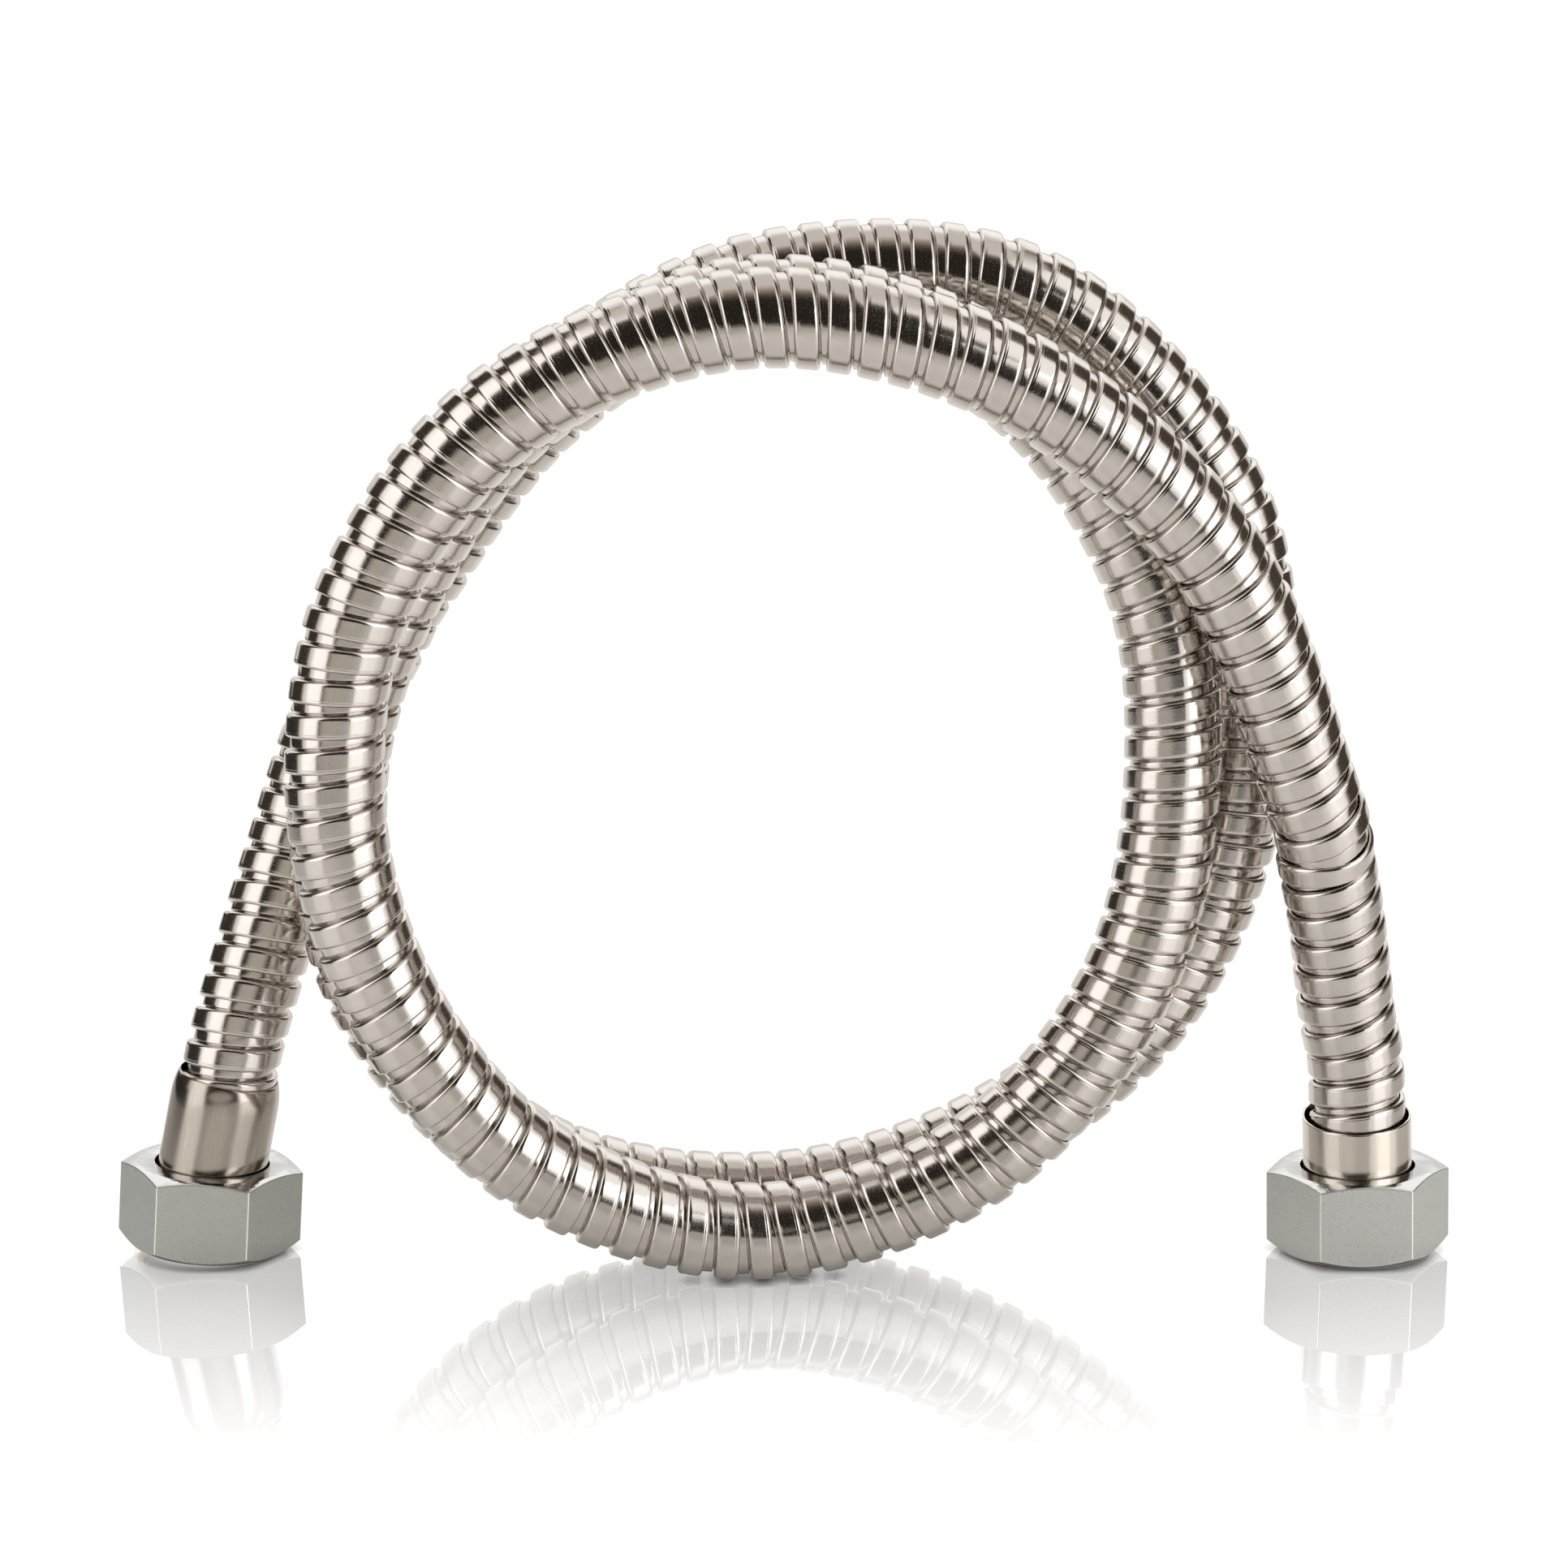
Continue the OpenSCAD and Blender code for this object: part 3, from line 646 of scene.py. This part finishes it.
class SHOWERHOSE_OT_nuts(bpy.types.Operator):
    """Make the two swivel nuts, with their threads and broken edges"""

    bl_idname = "showerhose.nuts"
    bl_label = "Make the swivel nuts"

    SIDES = 6
    SECTOR = math.pi / 3
    HALF_SECTOR = math.pi / 6
    FLAT_STEPS = 9
    THREAD_STEP = 0.14 * MM
    # Over this height the thread starts and ends.
    THREAD_RUN = 0.5 * MM
    SPIN = math.radians(1)

    def corner(self, sizes):
        """How far the middle of a corner's rounding is from the axis, and half the angle it takes up."""
        middle = (sizes.across_flats / 2 - sizes.corner_round) / math.cos(self.HALF_SECTOR)
        aside = sizes.corner_round * math.sin(self.HALF_SECTOR)
        return middle, math.atan2(aside, middle + sizes.corner_round * math.cos(self.HALF_SECTOR))

    def angles(self, sizes):
        """Angles round the nut: close together at its corners, which point along X."""
        _, reach = self.corner(sizes)
        near = np.array([-2.5, -1, -0.5, 0, 0.5, 1, 2.5]) * reach
        flat = np.linspace(near[-1], self.SECTOR + near[0], self.FLAT_STEPS + 2)[1:-1]
        sector = np.concatenate([near, flat])
        return np.concatenate([sector + i * self.SECTOR for i in range(self.SIDES)])

    def side(self, sizes, angles):
        """How far the nut's side is from its axis at each angle."""
        middle, reach = self.corner(sizes)
        off = (angles + self.HALF_SECTOR) % self.SECTOR - self.HALF_SECTOR
        flat = sizes.across_flats / 2 / np.cos(self.HALF_SECTOR - np.abs(off))
        room = sizes.corner_round**2 - (middle * np.sin(off)) ** 2
        rounded = middle * np.cos(off) + np.sqrt(np.maximum(room, 0))
        return np.where(np.abs(off) < reach, rounded, flat)

    def make(self, name, sizes, finishes):
        """A nut about its own Z, mouth down, whose finishes are satin, turned and bare brass."""
        h, web = sizes.height, sizes.height - sizes.web
        soft = sizes.corner_round
        thread_top = sizes.thread_lead + sizes.thread_len
        thread_z = np.arange(sizes.thread_lead, thread_top + self.THREAD_STEP / 2, self.THREAD_STEP)
        thread = [(sizes.crest, z) for z in thread_z]
        inner = [
            (sizes.mouth_ring - 0.05 * MM, 0),
            (sizes.crest + sizes.thread_lead, 0),
            *thread,
            (sizes.crest, thread_top),
            (sizes.chamber, thread_top + 0.02 * MM),
            (sizes.chamber, web),
            (sizes.web_hole + 0.05 * MM, web),
            (sizes.web_hole, web + 0.05 * MM),
            (sizes.web_hole, h - soft / 2),
            (sizes.web_hole + soft * 0.15, h - soft * 0.15),
            (sizes.web_hole + soft / 2, h),
            (sizes.top_ring - 0.2 * MM, h),
            (sizes.top_ring, h - 0.01 * MM),
        ]
        angles = self.angles(sizes)
        side = self.side(sizes, angles)
        top_slope, mouth_slope = math.tan(sizes.top_slope), math.tan(sizes.mouth_slope)
        top_z = h - (side - sizes.top_ring) * top_slope
        mouth_z = (side - sizes.mouth_ring) * mouth_slope
        rows = [(np.full_like(side, r), np.full_like(side, z)) for r, z in inner]
        # The broken edges of the top's chamfer, the wall and the mouth's chamfer.
        rows += [(side - d, top_z + d * top_slope) for d in (soft, soft * 0.3)]
        rows += [(side, top_z - d) for d in (soft * 0.25, soft)]
        rows += [(side, mouth_z + d) for d in (soft, soft * 0.25)]
        rows += [(side - d, mouth_z - d * mouth_slope) for d in (soft * 0.3, soft)]
        radius, height = (np.array(part) for part in zip(*rows))
        first, last = 2, 2 + len(thread)
        turn = (height[first:last] / sizes.thread_pitch - angles / FULL_TURN) % 1
        # Crest and root are each flat over 0.29 of the pitch, and the flanks run straight between them.
        cut = np.clip(2.4 * np.abs(2 * turn - 1) - 0.7, 0, 1)
        ends = np.minimum(height[first:last] - sizes.thread_lead, thread_top - height[first:last])
        radius[first:last] += sizes.thread_depth * cut * np.clip(ends / self.THREAD_RUN, 0, 1)
        points = np.stack([radius * np.cos(angles), radius * np.sin(angles), height], axis=2)
        # Bare inside up to the web, bright from there to the top's edge, satin sides and a bright mouth.
        satin, bright, bare = 0, 1, 2
        chamber_top = last + 3
        zones = [bare] * chamber_top + [bright] * (len(inner) + 1 - chamber_top)
        zones += [satin] * 5 + [bright] * (len(rows) - len(zones) - 5)
        nut = skin(name, points, joined=(True, True), zones=zones)
        for finish in finishes:
            nut.data.materials.append(finish)
        return nut

    def execute(self, context):
        sizes = context.scene.hose_nuts
        look = context.scene.hose_finishes
        turned = turned_chrome(look)
        brass = turned_brass(look, "threaded_brass", own_coordinates)
        mounts = {mount["name"]: mount for mount in frame["record"]["mounts"]}
        middle = sizes.thread_lead + sizes.thread_len / 2
        # Painted light: the handset nut's colour and shade are a lighter copy of the tap nut's, for the light
        # at that end.
        ends = (
            ("tap", -self.SPIN, look.tap_satin, "#c3c6c1"),
            ("handset", self.SPIN, look.handset_satin_painted_light, "#dadbd7"),
        )
        for end, spin, colour, shade in ends:
            satin = satin_chrome(end + "_satin_chrome", colour, linear(shade))
            mount = mounts[end + "_thread"]
            down = Vector(mount["axis"])
            nut = self.make(end + "_swivel_nut", sizes, (satin, turned, brass))
            place(nut, Vector(mount["pos_m"]) + down * middle, -down, spin)
            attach(nut, end + "_nut")
            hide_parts(end + "_nut")
        return {"FINISHED"}


class SHOWERHOSE_OT_sleeves(bpy.types.Operator):
    """Roll the two end sleeves"""

    bl_idname = "showerhose.sleeves"
    bl_label = "Make the end sleeves"

    AROUND_STEPS = 120
    RIM_STEPS = 14
    EDGE = 0.08 * MM

    def foot(self, sizes):
        """The outside of a sleeve's lip and the start of its wall, as (radius, height)."""
        outer = sizes.bore + sizes.wall
        return [
            (sizes.bore, -sizes.lip_t),
            (sizes.lip - self.EDGE, -sizes.lip_t),
            (sizes.lip, self.EDGE - sizes.lip_t),
            (sizes.lip, -self.EDGE),
            (sizes.lip - self.EDGE, 0),
            (outer + self.EDGE, 0),
            (outer, self.EDGE),
            (outer, 4 * self.EDGE),
        ]

    def plain_profile(self, sizes):
        """A sleeve whose wall runs up to a plain cut."""
        outer, top, edge = sizes.bore + sizes.wall, sizes.handset_len, self.EDGE
        rim = [(outer, top - 4 * edge), (outer, top - edge), (outer - edge, top)]
        rim += [(sizes.bore + edge, top), (sizes.bore, top - edge), (sizes.bore, top - 4 * edge)]
        return [*self.foot(sizes), (outer, top / 2), *rim, (sizes.bore, top / 2), (sizes.bore, 0)]

    def rolled_profile(self, sizes):
        """A sleeve whose rim turns in more and more, until its edge all but touches the ribs."""
        outer, rim_foot = sizes.bore + sizes.wall, sizes.tap_len - sizes.rolled_rim
        share = np.linspace(0, 1, self.RIM_STEPS + 1)
        rise = rim_foot + sizes.rolled_rim * share
        inward = share**3
        outside = outer - (outer - sizes.rim_bore - sizes.rim_edge) * inward
        inside = sizes.bore - (sizes.bore - sizes.rim_bore) * inward
        return [
            *self.foot(sizes),
            (outer, rim_foot / 2),
            (outer, rim_foot - 3 * self.EDGE),
            *zip(outside, rise),
            *zip(inside[::-1], rise[::-1]),
            (sizes.bore, rim_foot / 2),
            (sizes.bore, 0),
        ]

    def execute(self, context):
        sizes = context.scene.hose_sleeves
        look = context.scene.hose_finishes

        # Both rims wave round the sleeve, the plain one more finely, and never above their length.
        def rolled(radius, height, angles):
            share = np.clip((height - sizes.tap_len / 2) / (sizes.tap_len / 2), 0, 1)
            lift = sizes.rim_wave / 2 * (np.sin(3 * angles + 1) - 1)
            return radius, height + share**3 * lift

        def plain(radius, height, angles):
            share = np.clip((height - sizes.handset_len / 2) / (sizes.handset_len / 2), 0, 1)
            lift = sizes.rim_wave / 4 * (np.sin(9 * angles + 0.6) + 0.6 * np.sin(23 * angles) - 1.6)
            return radius, height + share * (lift + radius * np.sin(angles) * math.tan(sizes.handset_cut))

        # Painted shade and light: the tap sleeve takes the darker colour and the handset sleeve the lighter
        # one, of the same stainless.
        ends = (
            ("tap", TAP_LIP, TAP_AXIS, look.tap_sleeve, self.rolled_profile(sizes), rolled),
            ("handset", HANDSET_LIP, HANDSET_AXIS, look.handset_sleeve, self.plain_profile(sizes), plain),
        )
        for end, lip, axis, colour, profile, shape in ends:
            sleeve = lathe(end + "_end_sleeve", profile, round_angles(self.AROUND_STEPS), shape=shape)
            sleeve.data.materials.append(sleeve_steel(end + "_sleeve_steel", colour, look.strip_shade))
            place(sleeve, lip, axis)
            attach(sleeve, "hose")
            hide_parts(end + "_sleeve")
        return {"FINISHED"}


class SHOWERHOSE_OT_inner_pieces(bpy.types.Operator):
    """Make the sealing washers, and finish the inserts and grip rings"""

    bl_idname = "showerhose.inner_pieces"
    bl_label = "Make the washers and finish the inner pieces"

    SIDES = 64
    EDGE = 0.15 * MM

    def execute(self, context):
        sizes = context.scene.hose_sleeves
        finishes = context.scene.hose_finishes
        rubber = bpy.data.materials["black_rubber"]
        brass = turned_brass(finishes, "turned_brass", row_coordinates)
        acetal = moulded_acetal(finishes)
        edge = self.EDGE
        foot = WASHER_TOP - sizes.washer_t
        profile = [
            (sizes.washer_hole, foot + edge),
            (sizes.washer_hole + edge, foot),
            (sizes.washer - edge, foot),
            (sizes.washer, foot + edge),
            (sizes.washer, WASHER_TOP - edge),
            (sizes.washer - edge, WASHER_TOP),
            (sizes.washer_hole + edge, WASHER_TOP),
            (sizes.washer_hole, WASHER_TOP - edge),
        ]
        for end, lip, axis in (("tap", TAP_LIP, TAP_AXIS), ("handset", HANDSET_LIP, HANDSET_AXIS)):
            washer = lathe(end + "_seal", profile, round_angles(self.SIDES))
            washer.data.materials.append(rubber)
            place(washer, lip, axis)
            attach(washer, "hose")
            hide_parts(end + "_washer")
            finish_node(end + "_insert", brass)
            finish_node(end + "_grip_ring", acetal)
        return {"FINISHED"}


class SHOWERHOSE_OT_stage(bpy.types.Operator):
    """Lay the white floor and set up the soft boxes and dark cards round it"""

    bl_idname = "showerhose.stage"
    bl_label = "Set up the studio"

    FRONT_EDGE = -0.7
    BACK_EDGE = 3.0
    HALF_WIDTH = 0.32
    # Just under the nuts, so that their faces and the floor don't share a plane.
    FLOOR_Z = -0.05 * MM
    ACRYLIC_IOR = 1.49

    # Seen directly: how strongly the floor's skin mirrors beside the hose, and where that starts to fade and
    # ends. The wiped ring is an oval, because the hose is four times as wide as it is deep.
    GLOSS = 2.7
    WIPED = (26 * MM, 106 * MM)
    OVAL = (0.25, 1, 1)
    # Seen directly: the floor's even glow, which fills all of the hose's shadow; the floor's darker body
    # under that glow; and how far from the hose the glow is darkened into a painted shadow at its foot.
    FLOOR_GLOW = 0.95
    SHADED_BODY = "#7c7b79"
    PAINTED_SHADOW_REACH = 1.6 * MM
    # Seen in the steel: the skin's mirror, and its limit, by which the floor's far end stays white instead of
    # mirroring what stands behind the camera.
    STEEL_GLOSS = 1.6
    STEEL_LIMIT = 0.4
    STEEL_BLUR = 0.015
    STEEL_LIFT = 0.08

    # The low cards: colour, the two ends of the foot, the heights of the foot and the top, and whether the
    # card thins out into an oval.
    CARDS = (
        ("left_card", "#2b2a29", (-0.27, -0.03), (-0.27, 0.35), 0.004, 0.06, False),
        ("front_card", "#d0ccc4", (-0.3, -0.3), (0.08, -0.3), 0.001, 0.15, True),
    )
    CLOTH_ROUGHNESS = 0.9
    # The lamps: place, aim, size, power, and whether the steel mirrors them.
    LAMPS = (
        ("overhead_box", (0, 0.5, 1.6), (0, 0.5, 0), 2.2, 13, False),
        ("side_box", (0.5, -0.42, 0.2), (0.083, 0, 0.01), 0.5, 0.9, True),
    )

    # What stands round the hose: its sides in degrees from the front towards +X, its top in degrees above the
    # floor, how softly each side and the top fade, and how bright it is, as the eye grades it.
    AROUND = (
        ((-130, -90), 60, 5, 6, 0.25),  # left flag
        ((-77, -38), 62, 7, 8, 1.22),  # left box
        ((-38, 36), 68, 5, 22, 0.18),  # dark studio
        ((38, 83), 62, 7, 8, 1.12),  # right box
        ((88, 136), 60, 7, 8, 0.3),  # right card
    )
    # Behind the hose and overhead, from the floor up: how bright each is, and where the lower two end and how
    # softly, in degrees.
    BACKDROP = 0.94
    BACKDROP_TOP = (20, 8)
    BACK_BOX = 1.14
    BACK_BOX_TOP = (54, 11)
    OVERHEAD = 0.9
    # What raises those strengths from the eye's grades to light.
    EYE = 2.2
    WHITE = 1.0
    BROWNISH = "#ffe6cc"

    def execute(self, context):
        context.scene.view_settings.view_transform = "Standard"
        self.floor(context.scene.hose_finishes)
        for card in self.CARDS:
            self.card(*card)
        self.lamps()
        context.scene.world = self.world()
        return {"FINISHED"}

    @staticmethod
    def sheet(name, corners, material):
        """A flat, four-cornered sheet."""
        mesh = bpy.data.meshes.new(name)
        mesh.from_pydata(corners, [], [(0, 1, 2, 3)])
        mesh.materials.append(material)
        return new_object(name, mesh)

    def floor(self, look):
        x, front, back, z = self.HALF_WIDTH, self.FRONT_EDGE, self.BACK_EDGE, self.FLOOR_Z
        corners = [(-x, front, z), (x, front, z), (x, back, z), (-x, back, z)]
        floor = self.sheet("floor", corners, self.gloss_sheet(look))

    def card(self, name, colour, first, last, foot, top, oval):
        """A low card on a stand, which shows in the steel only."""
        corners = [(*first, foot), (*last, foot), (*last, top), (*first, top)]
        cloth = bpy.data.materials.new(name)
        tree = cleared(cloth)
        inputs = {"Base Color": linear(colour), "Roughness": self.CLOTH_ROUGHNESS}
        shader = add_node(tree, "ShaderNodeBsdfPrincipled", inputs=inputs)
        clear = add_node(tree, "ShaderNodeBsdfTransparent")
        hidden = self.backdrop_ray(tree)
        if oval:
            hidden = self.thinned(tree, corners[0], corners[2], hidden)
        shown = add_node(tree, "ShaderNodeMixShader", inputs={0: hidden, 1: shader, 2: clear})
        add_node(tree, "ShaderNodeOutputMaterial", inputs={"Surface": shown})
        card = self.sheet(name, corners, cloth)

    @staticmethod
    def fading(start, stop, low, high):
        """What makes a value run from low at start to high at stop."""
        return {"From Min": start, "From Max": stop, "To Min": low, "To Max": high}

    def thinned(self, tree, low, high, hidden):
        """Fades a card between two corners out towards its edge."""
        middle = [(a + b) / 2 for a, b in zip(low, high)]
        scale = [2 / (b - a) if b > a else 0 for a, b in zip(low, high)]
        about = add_node(
            tree,
            "ShaderNodeVectorMath",
            {"operation": "MULTIPLY_ADD"},
            {0: row_coordinates(tree), 1: scale, 2: [-m * k for m, k in zip(middle, scale)]},
        )
        inward = add_node(tree, "ShaderNodeTexGradient", {"gradient_type": "SPHERICAL"}, {"Vector": about})
        inputs = {"Value": inward.outputs["Fac"], **self.fading(0.0, 0.5, 1.0, 0.0)}
        thin = add_node(tree, "ShaderNodeMapRange", SMOOTH, inputs)
        return add_node(tree, "ShaderNodeMath", {"operation": "MAXIMUM"}, {0: hidden, 1: thin})

    def gloss_sheet(self, look):
        """Acrylic sheet, cast white: a soft white under a mirror-smooth skin, whose gloss is wiped dull
        further out from the hose. Seen directly it lies as white as the background."""
        made = bpy.data.materials.new("gloss_sheet")
        tree = cleared(made)
        own = row_coordinates(tree)
        oval = add_node(tree, "ShaderNodeVectorMath", {"operation": "MULTIPLY"}, {0: own, 1: self.OVAL})
        away = add_node(tree, "ShaderNodeVectorMath", {"operation": "LENGTH"}, {0: oval})
        inputs = {"Value": away.outputs["Value"], **self.fading(*self.WIPED, self.GLOSS, 0.0)}
        gloss = add_node(tree, "ShaderNodeMapRange", inputs=inputs)
        seen = add_node(tree, "ShaderNodeLightPath").outputs["Is Camera Ray"]
        fresnel = add_node(tree, "ShaderNodeFresnel", inputs={"IOR": self.ACRYLIC_IOR})
        near = add_node(tree, "ShaderNodeMath", {"operation": "MULTIPLY"}, {0: fresnel, 1: gloss})
        strong = add_node(
            tree, "ShaderNodeMath", {"operation": "MULTIPLY"}, {0: fresnel, 1: self.STEEL_GLOSS}
        )
        held = add_node(tree, "ShaderNodeMath", {"operation": "MINIMUM"}, {0: strong, 1: self.STEEL_LIMIT})
        share = add_node(tree, "ShaderNodeMix", NUMBERS, {0: seen, 2: held, 3: near})
        inputs = {0: seen, 6: look.floor, 7: linear(self.SHADED_BODY)}
        colour = add_node(tree, "ShaderNodeMix", COLOURS, inputs)
        body = add_node(tree, "ShaderNodeBsdfDiffuse", inputs={"Color": colour.outputs[2]})
        # Painted shadow: ambient occlusion darkens the floor's glow within a short reach of the hose, making
        # a thin dark line along its foot.
        foot = add_node(tree, "ShaderNodeAmbientOcclusion", {"samples": 8}, {"Distance": self.PAINTED_SHADOW_REACH})
        inputs = {0: foot.outputs["AO"], 1: self.FLOOR_GLOW}
        glow_with_painted_shadow = add_node(tree, "ShaderNodeMath", {"operation": "MULTIPLY"}, inputs)
        lift = add_node(tree, "ShaderNodeMix", NUMBERS, {0: seen, 2: self.STEEL_LIFT, 3: glow_with_painted_shadow})
        glow = add_node(tree, "ShaderNodeEmission", inputs={"Strength": lift})
        under = add_node(tree, "ShaderNodeAddShader", inputs={0: body, 1: glow})
        blur = add_node(tree, "ShaderNodeMix", NUMBERS, {0: seen, 2: self.STEEL_BLUR, 3: 0.0})
        ripple = grain(tree, own, 60 * MM)
        bump = add_node(tree, "ShaderNodeBump", inputs={"Height": ripple, "Distance": 0.02 * MM})
        inputs = {"Color": linear("#ffffff"), "Roughness": blur, "Normal": bump}
        mirror = add_node(tree, "ShaderNodeBsdfGlossy", inputs=inputs)
        mixed = add_node(tree, "ShaderNodeMixShader", inputs={0: share, 1: under, 2: mirror})
        add_node(tree, "ShaderNodeOutputMaterial", inputs={"Surface": mixed})
        return made

    def lamps(self):
        """A wide box overhead, and a small one at the right that lights the handset end a little more."""
        for name, place, aim, size, energy, mirrored in self.LAMPS:
            data = bpy.data.lights.new(name, "AREA")
            data.shape = "SQUARE"
            data.size = size
            data.energy = energy
            lamp = new_object(name, data)
            lamp.location = place
            lamp.rotation_euler = (Vector(aim) - Vector(place)).to_track_quat("-Z", "Y").to_euler()
            lamp.visible_glossy = mirrored

    def world(self):
        """The studio all round: a white background behind, a pale ceiling, and boxes and cards in front."""
        world = bpy.data.worlds.new("studio")
        tree = cleared(world)
        direction = add_node(tree, "ShaderNodeTexCoord").outputs["Generated"]
        apart = add_node(tree, "ShaderNodeSeparateXYZ", inputs={0: direction})
        x, y, z = apart.outputs
        to_front = add_node(tree, "ShaderNodeMath", {"operation": "MULTIPLY"}, {0: y, 1: -1})
        turn = add_node(tree, "ShaderNodeMath", {"operation": "ARCTAN2"}, {0: x, 1: to_front})
        rise = add_node(tree, "ShaderNodeMath", {"operation": "ARCSINE"}, {0: z})
        inputs = {"Value": rise, **self.step(*self.BACKDROP_TOP, self.BACKDROP, self.BACK_BOX)}
        low = add_node(tree, "ShaderNodeMapRange", SMOOTH, inputs)
        inputs = {"Value": rise, **self.step(*self.BACK_BOX_TOP, 0, 1)}
        high = add_node(tree, "ShaderNodeMapRange", SMOOTH, inputs)
        level = add_node(tree, "ShaderNodeMix", NUMBERS, {0: high, 2: low, 3: self.OVERHEAD})
        for sides, top, side_fade, top_fade, strength in self.AROUND:
            inputs = {"Value": turn, **self.step(sides[0], side_fade, 0, 1)}
            inside = add_node(tree, "ShaderNodeMapRange", SMOOTH, inputs)
            inputs = {"Value": turn, **self.step(sides[1], side_fade, 1, 0)}
            before = add_node(tree, "ShaderNodeMapRange", SMOOTH, inputs)
            inputs = {"Value": rise, **self.step(top, top_fade, 1, 0)}
            below = add_node(tree, "ShaderNodeMapRange", SMOOTH, inputs)
            both = add_node(tree, "ShaderNodeMath", {"operation": "MULTIPLY"}, {0: inside, 1: before})
            mask = add_node(tree, "ShaderNodeMath", {"operation": "MULTIPLY"}, {0: both, 1: below})
            level = add_node(tree, "ShaderNodeMix", NUMBERS, {0: mask, 2: level, 3: strength})
        bright = add_node(tree, "ShaderNodeMath", {"operation": "POWER"}, {0: level, 1: self.EYE})
        inputs = {0: self.backdrop_ray(tree), 2: bright, 3: self.WHITE}
        shown = add_node(tree, "ShaderNodeMix", NUMBERS, inputs)
        # The dark parts of the room are brownish.
        inputs = {0: shown, 6: linear(self.BROWNISH), 7: linear("#ffffff")}
        colour = add_node(tree, "ShaderNodeMix", COLOURS, inputs)
        inputs = {"Color": colour.outputs[2], "Strength": shown}
        background = add_node(tree, "ShaderNodeBackground", inputs=inputs)
        add_node(tree, "ShaderNodeOutputWorld", inputs={"Surface": background})
        return world

    @staticmethod
    def backdrop_ray(tree):
        """1 for what the camera sees straight or in the floor's mirror, and 0 for what lights the hose."""
        path = add_node(tree, "ShaderNodeLightPath").outputs
        rays = {0: path["Is Camera Ray"], 1: path["Is Singular Ray"]}
        return add_node(tree, "ShaderNodeMath", {"operation": "MAXIMUM"}, rays)

    def step(self, degrees, fade, low, high):
        """What makes a value low below an angle and high above it, with a fade between."""
        return self.fading(math.radians(degrees - fade), math.radians(degrees + fade), low, high)


class SHOWERHOSE_PT_panel(bpy.types.Panel):
    bl_idname = "SHOWERHOSE_PT_panel"
    bl_label = "Shower hose"
    bl_space_type = "VIEW_3D"
    bl_region_type = "UI"
    bl_category = "Shower hose"

    def draw(self, context):
        for operator in OPERATORS:
            self.layout.operator(operator.bl_idname)


OPERATORS = (
    SHOWERHOSE_OT_camera,
    SHOWERHOSE_OT_casing,
    SHOWERHOSE_OT_tube,
    SHOWERHOSE_OT_nuts,
    SHOWERHOSE_OT_sleeves,
    SHOWERHOSE_OT_inner_pieces,
    SHOWERHOSE_OT_stage,
)
GROUPS = {
    "hose_sizes": HoseSizes,
    "hose_nuts": NutSizes,
    "hose_sleeves": SleeveSizes,
    "hose_finishes": Finishes,
}


def register():
    for each in (*GROUPS.values(), *OPERATORS, SHOWERHOSE_PT_panel):
        bpy.utils.register_class(each)
    for name, group in GROUPS.items():
        setattr(bpy.types.Scene, name, PointerProperty(type=group))


def unregister():
    for name in GROUPS:
        delattr(bpy.types.Scene, name)
    for each in (SHOWERHOSE_PT_panel, *reversed(OPERATORS), *reversed(GROUPS.values())):
        bpy.utils.unregister_class(each)


def main():
    """Builds every piece and the studio."""
    register()
    bpy.ops.showerhose.camera()
    bpy.ops.showerhose.casing()
    bpy.ops.showerhose.tube()
    bpy.ops.showerhose.nuts()
    bpy.ops.showerhose.sleeves()
    bpy.ops.showerhose.inner_pieces()
    bpy.ops.showerhose.stage()


if __name__ == "__main__":
    main()
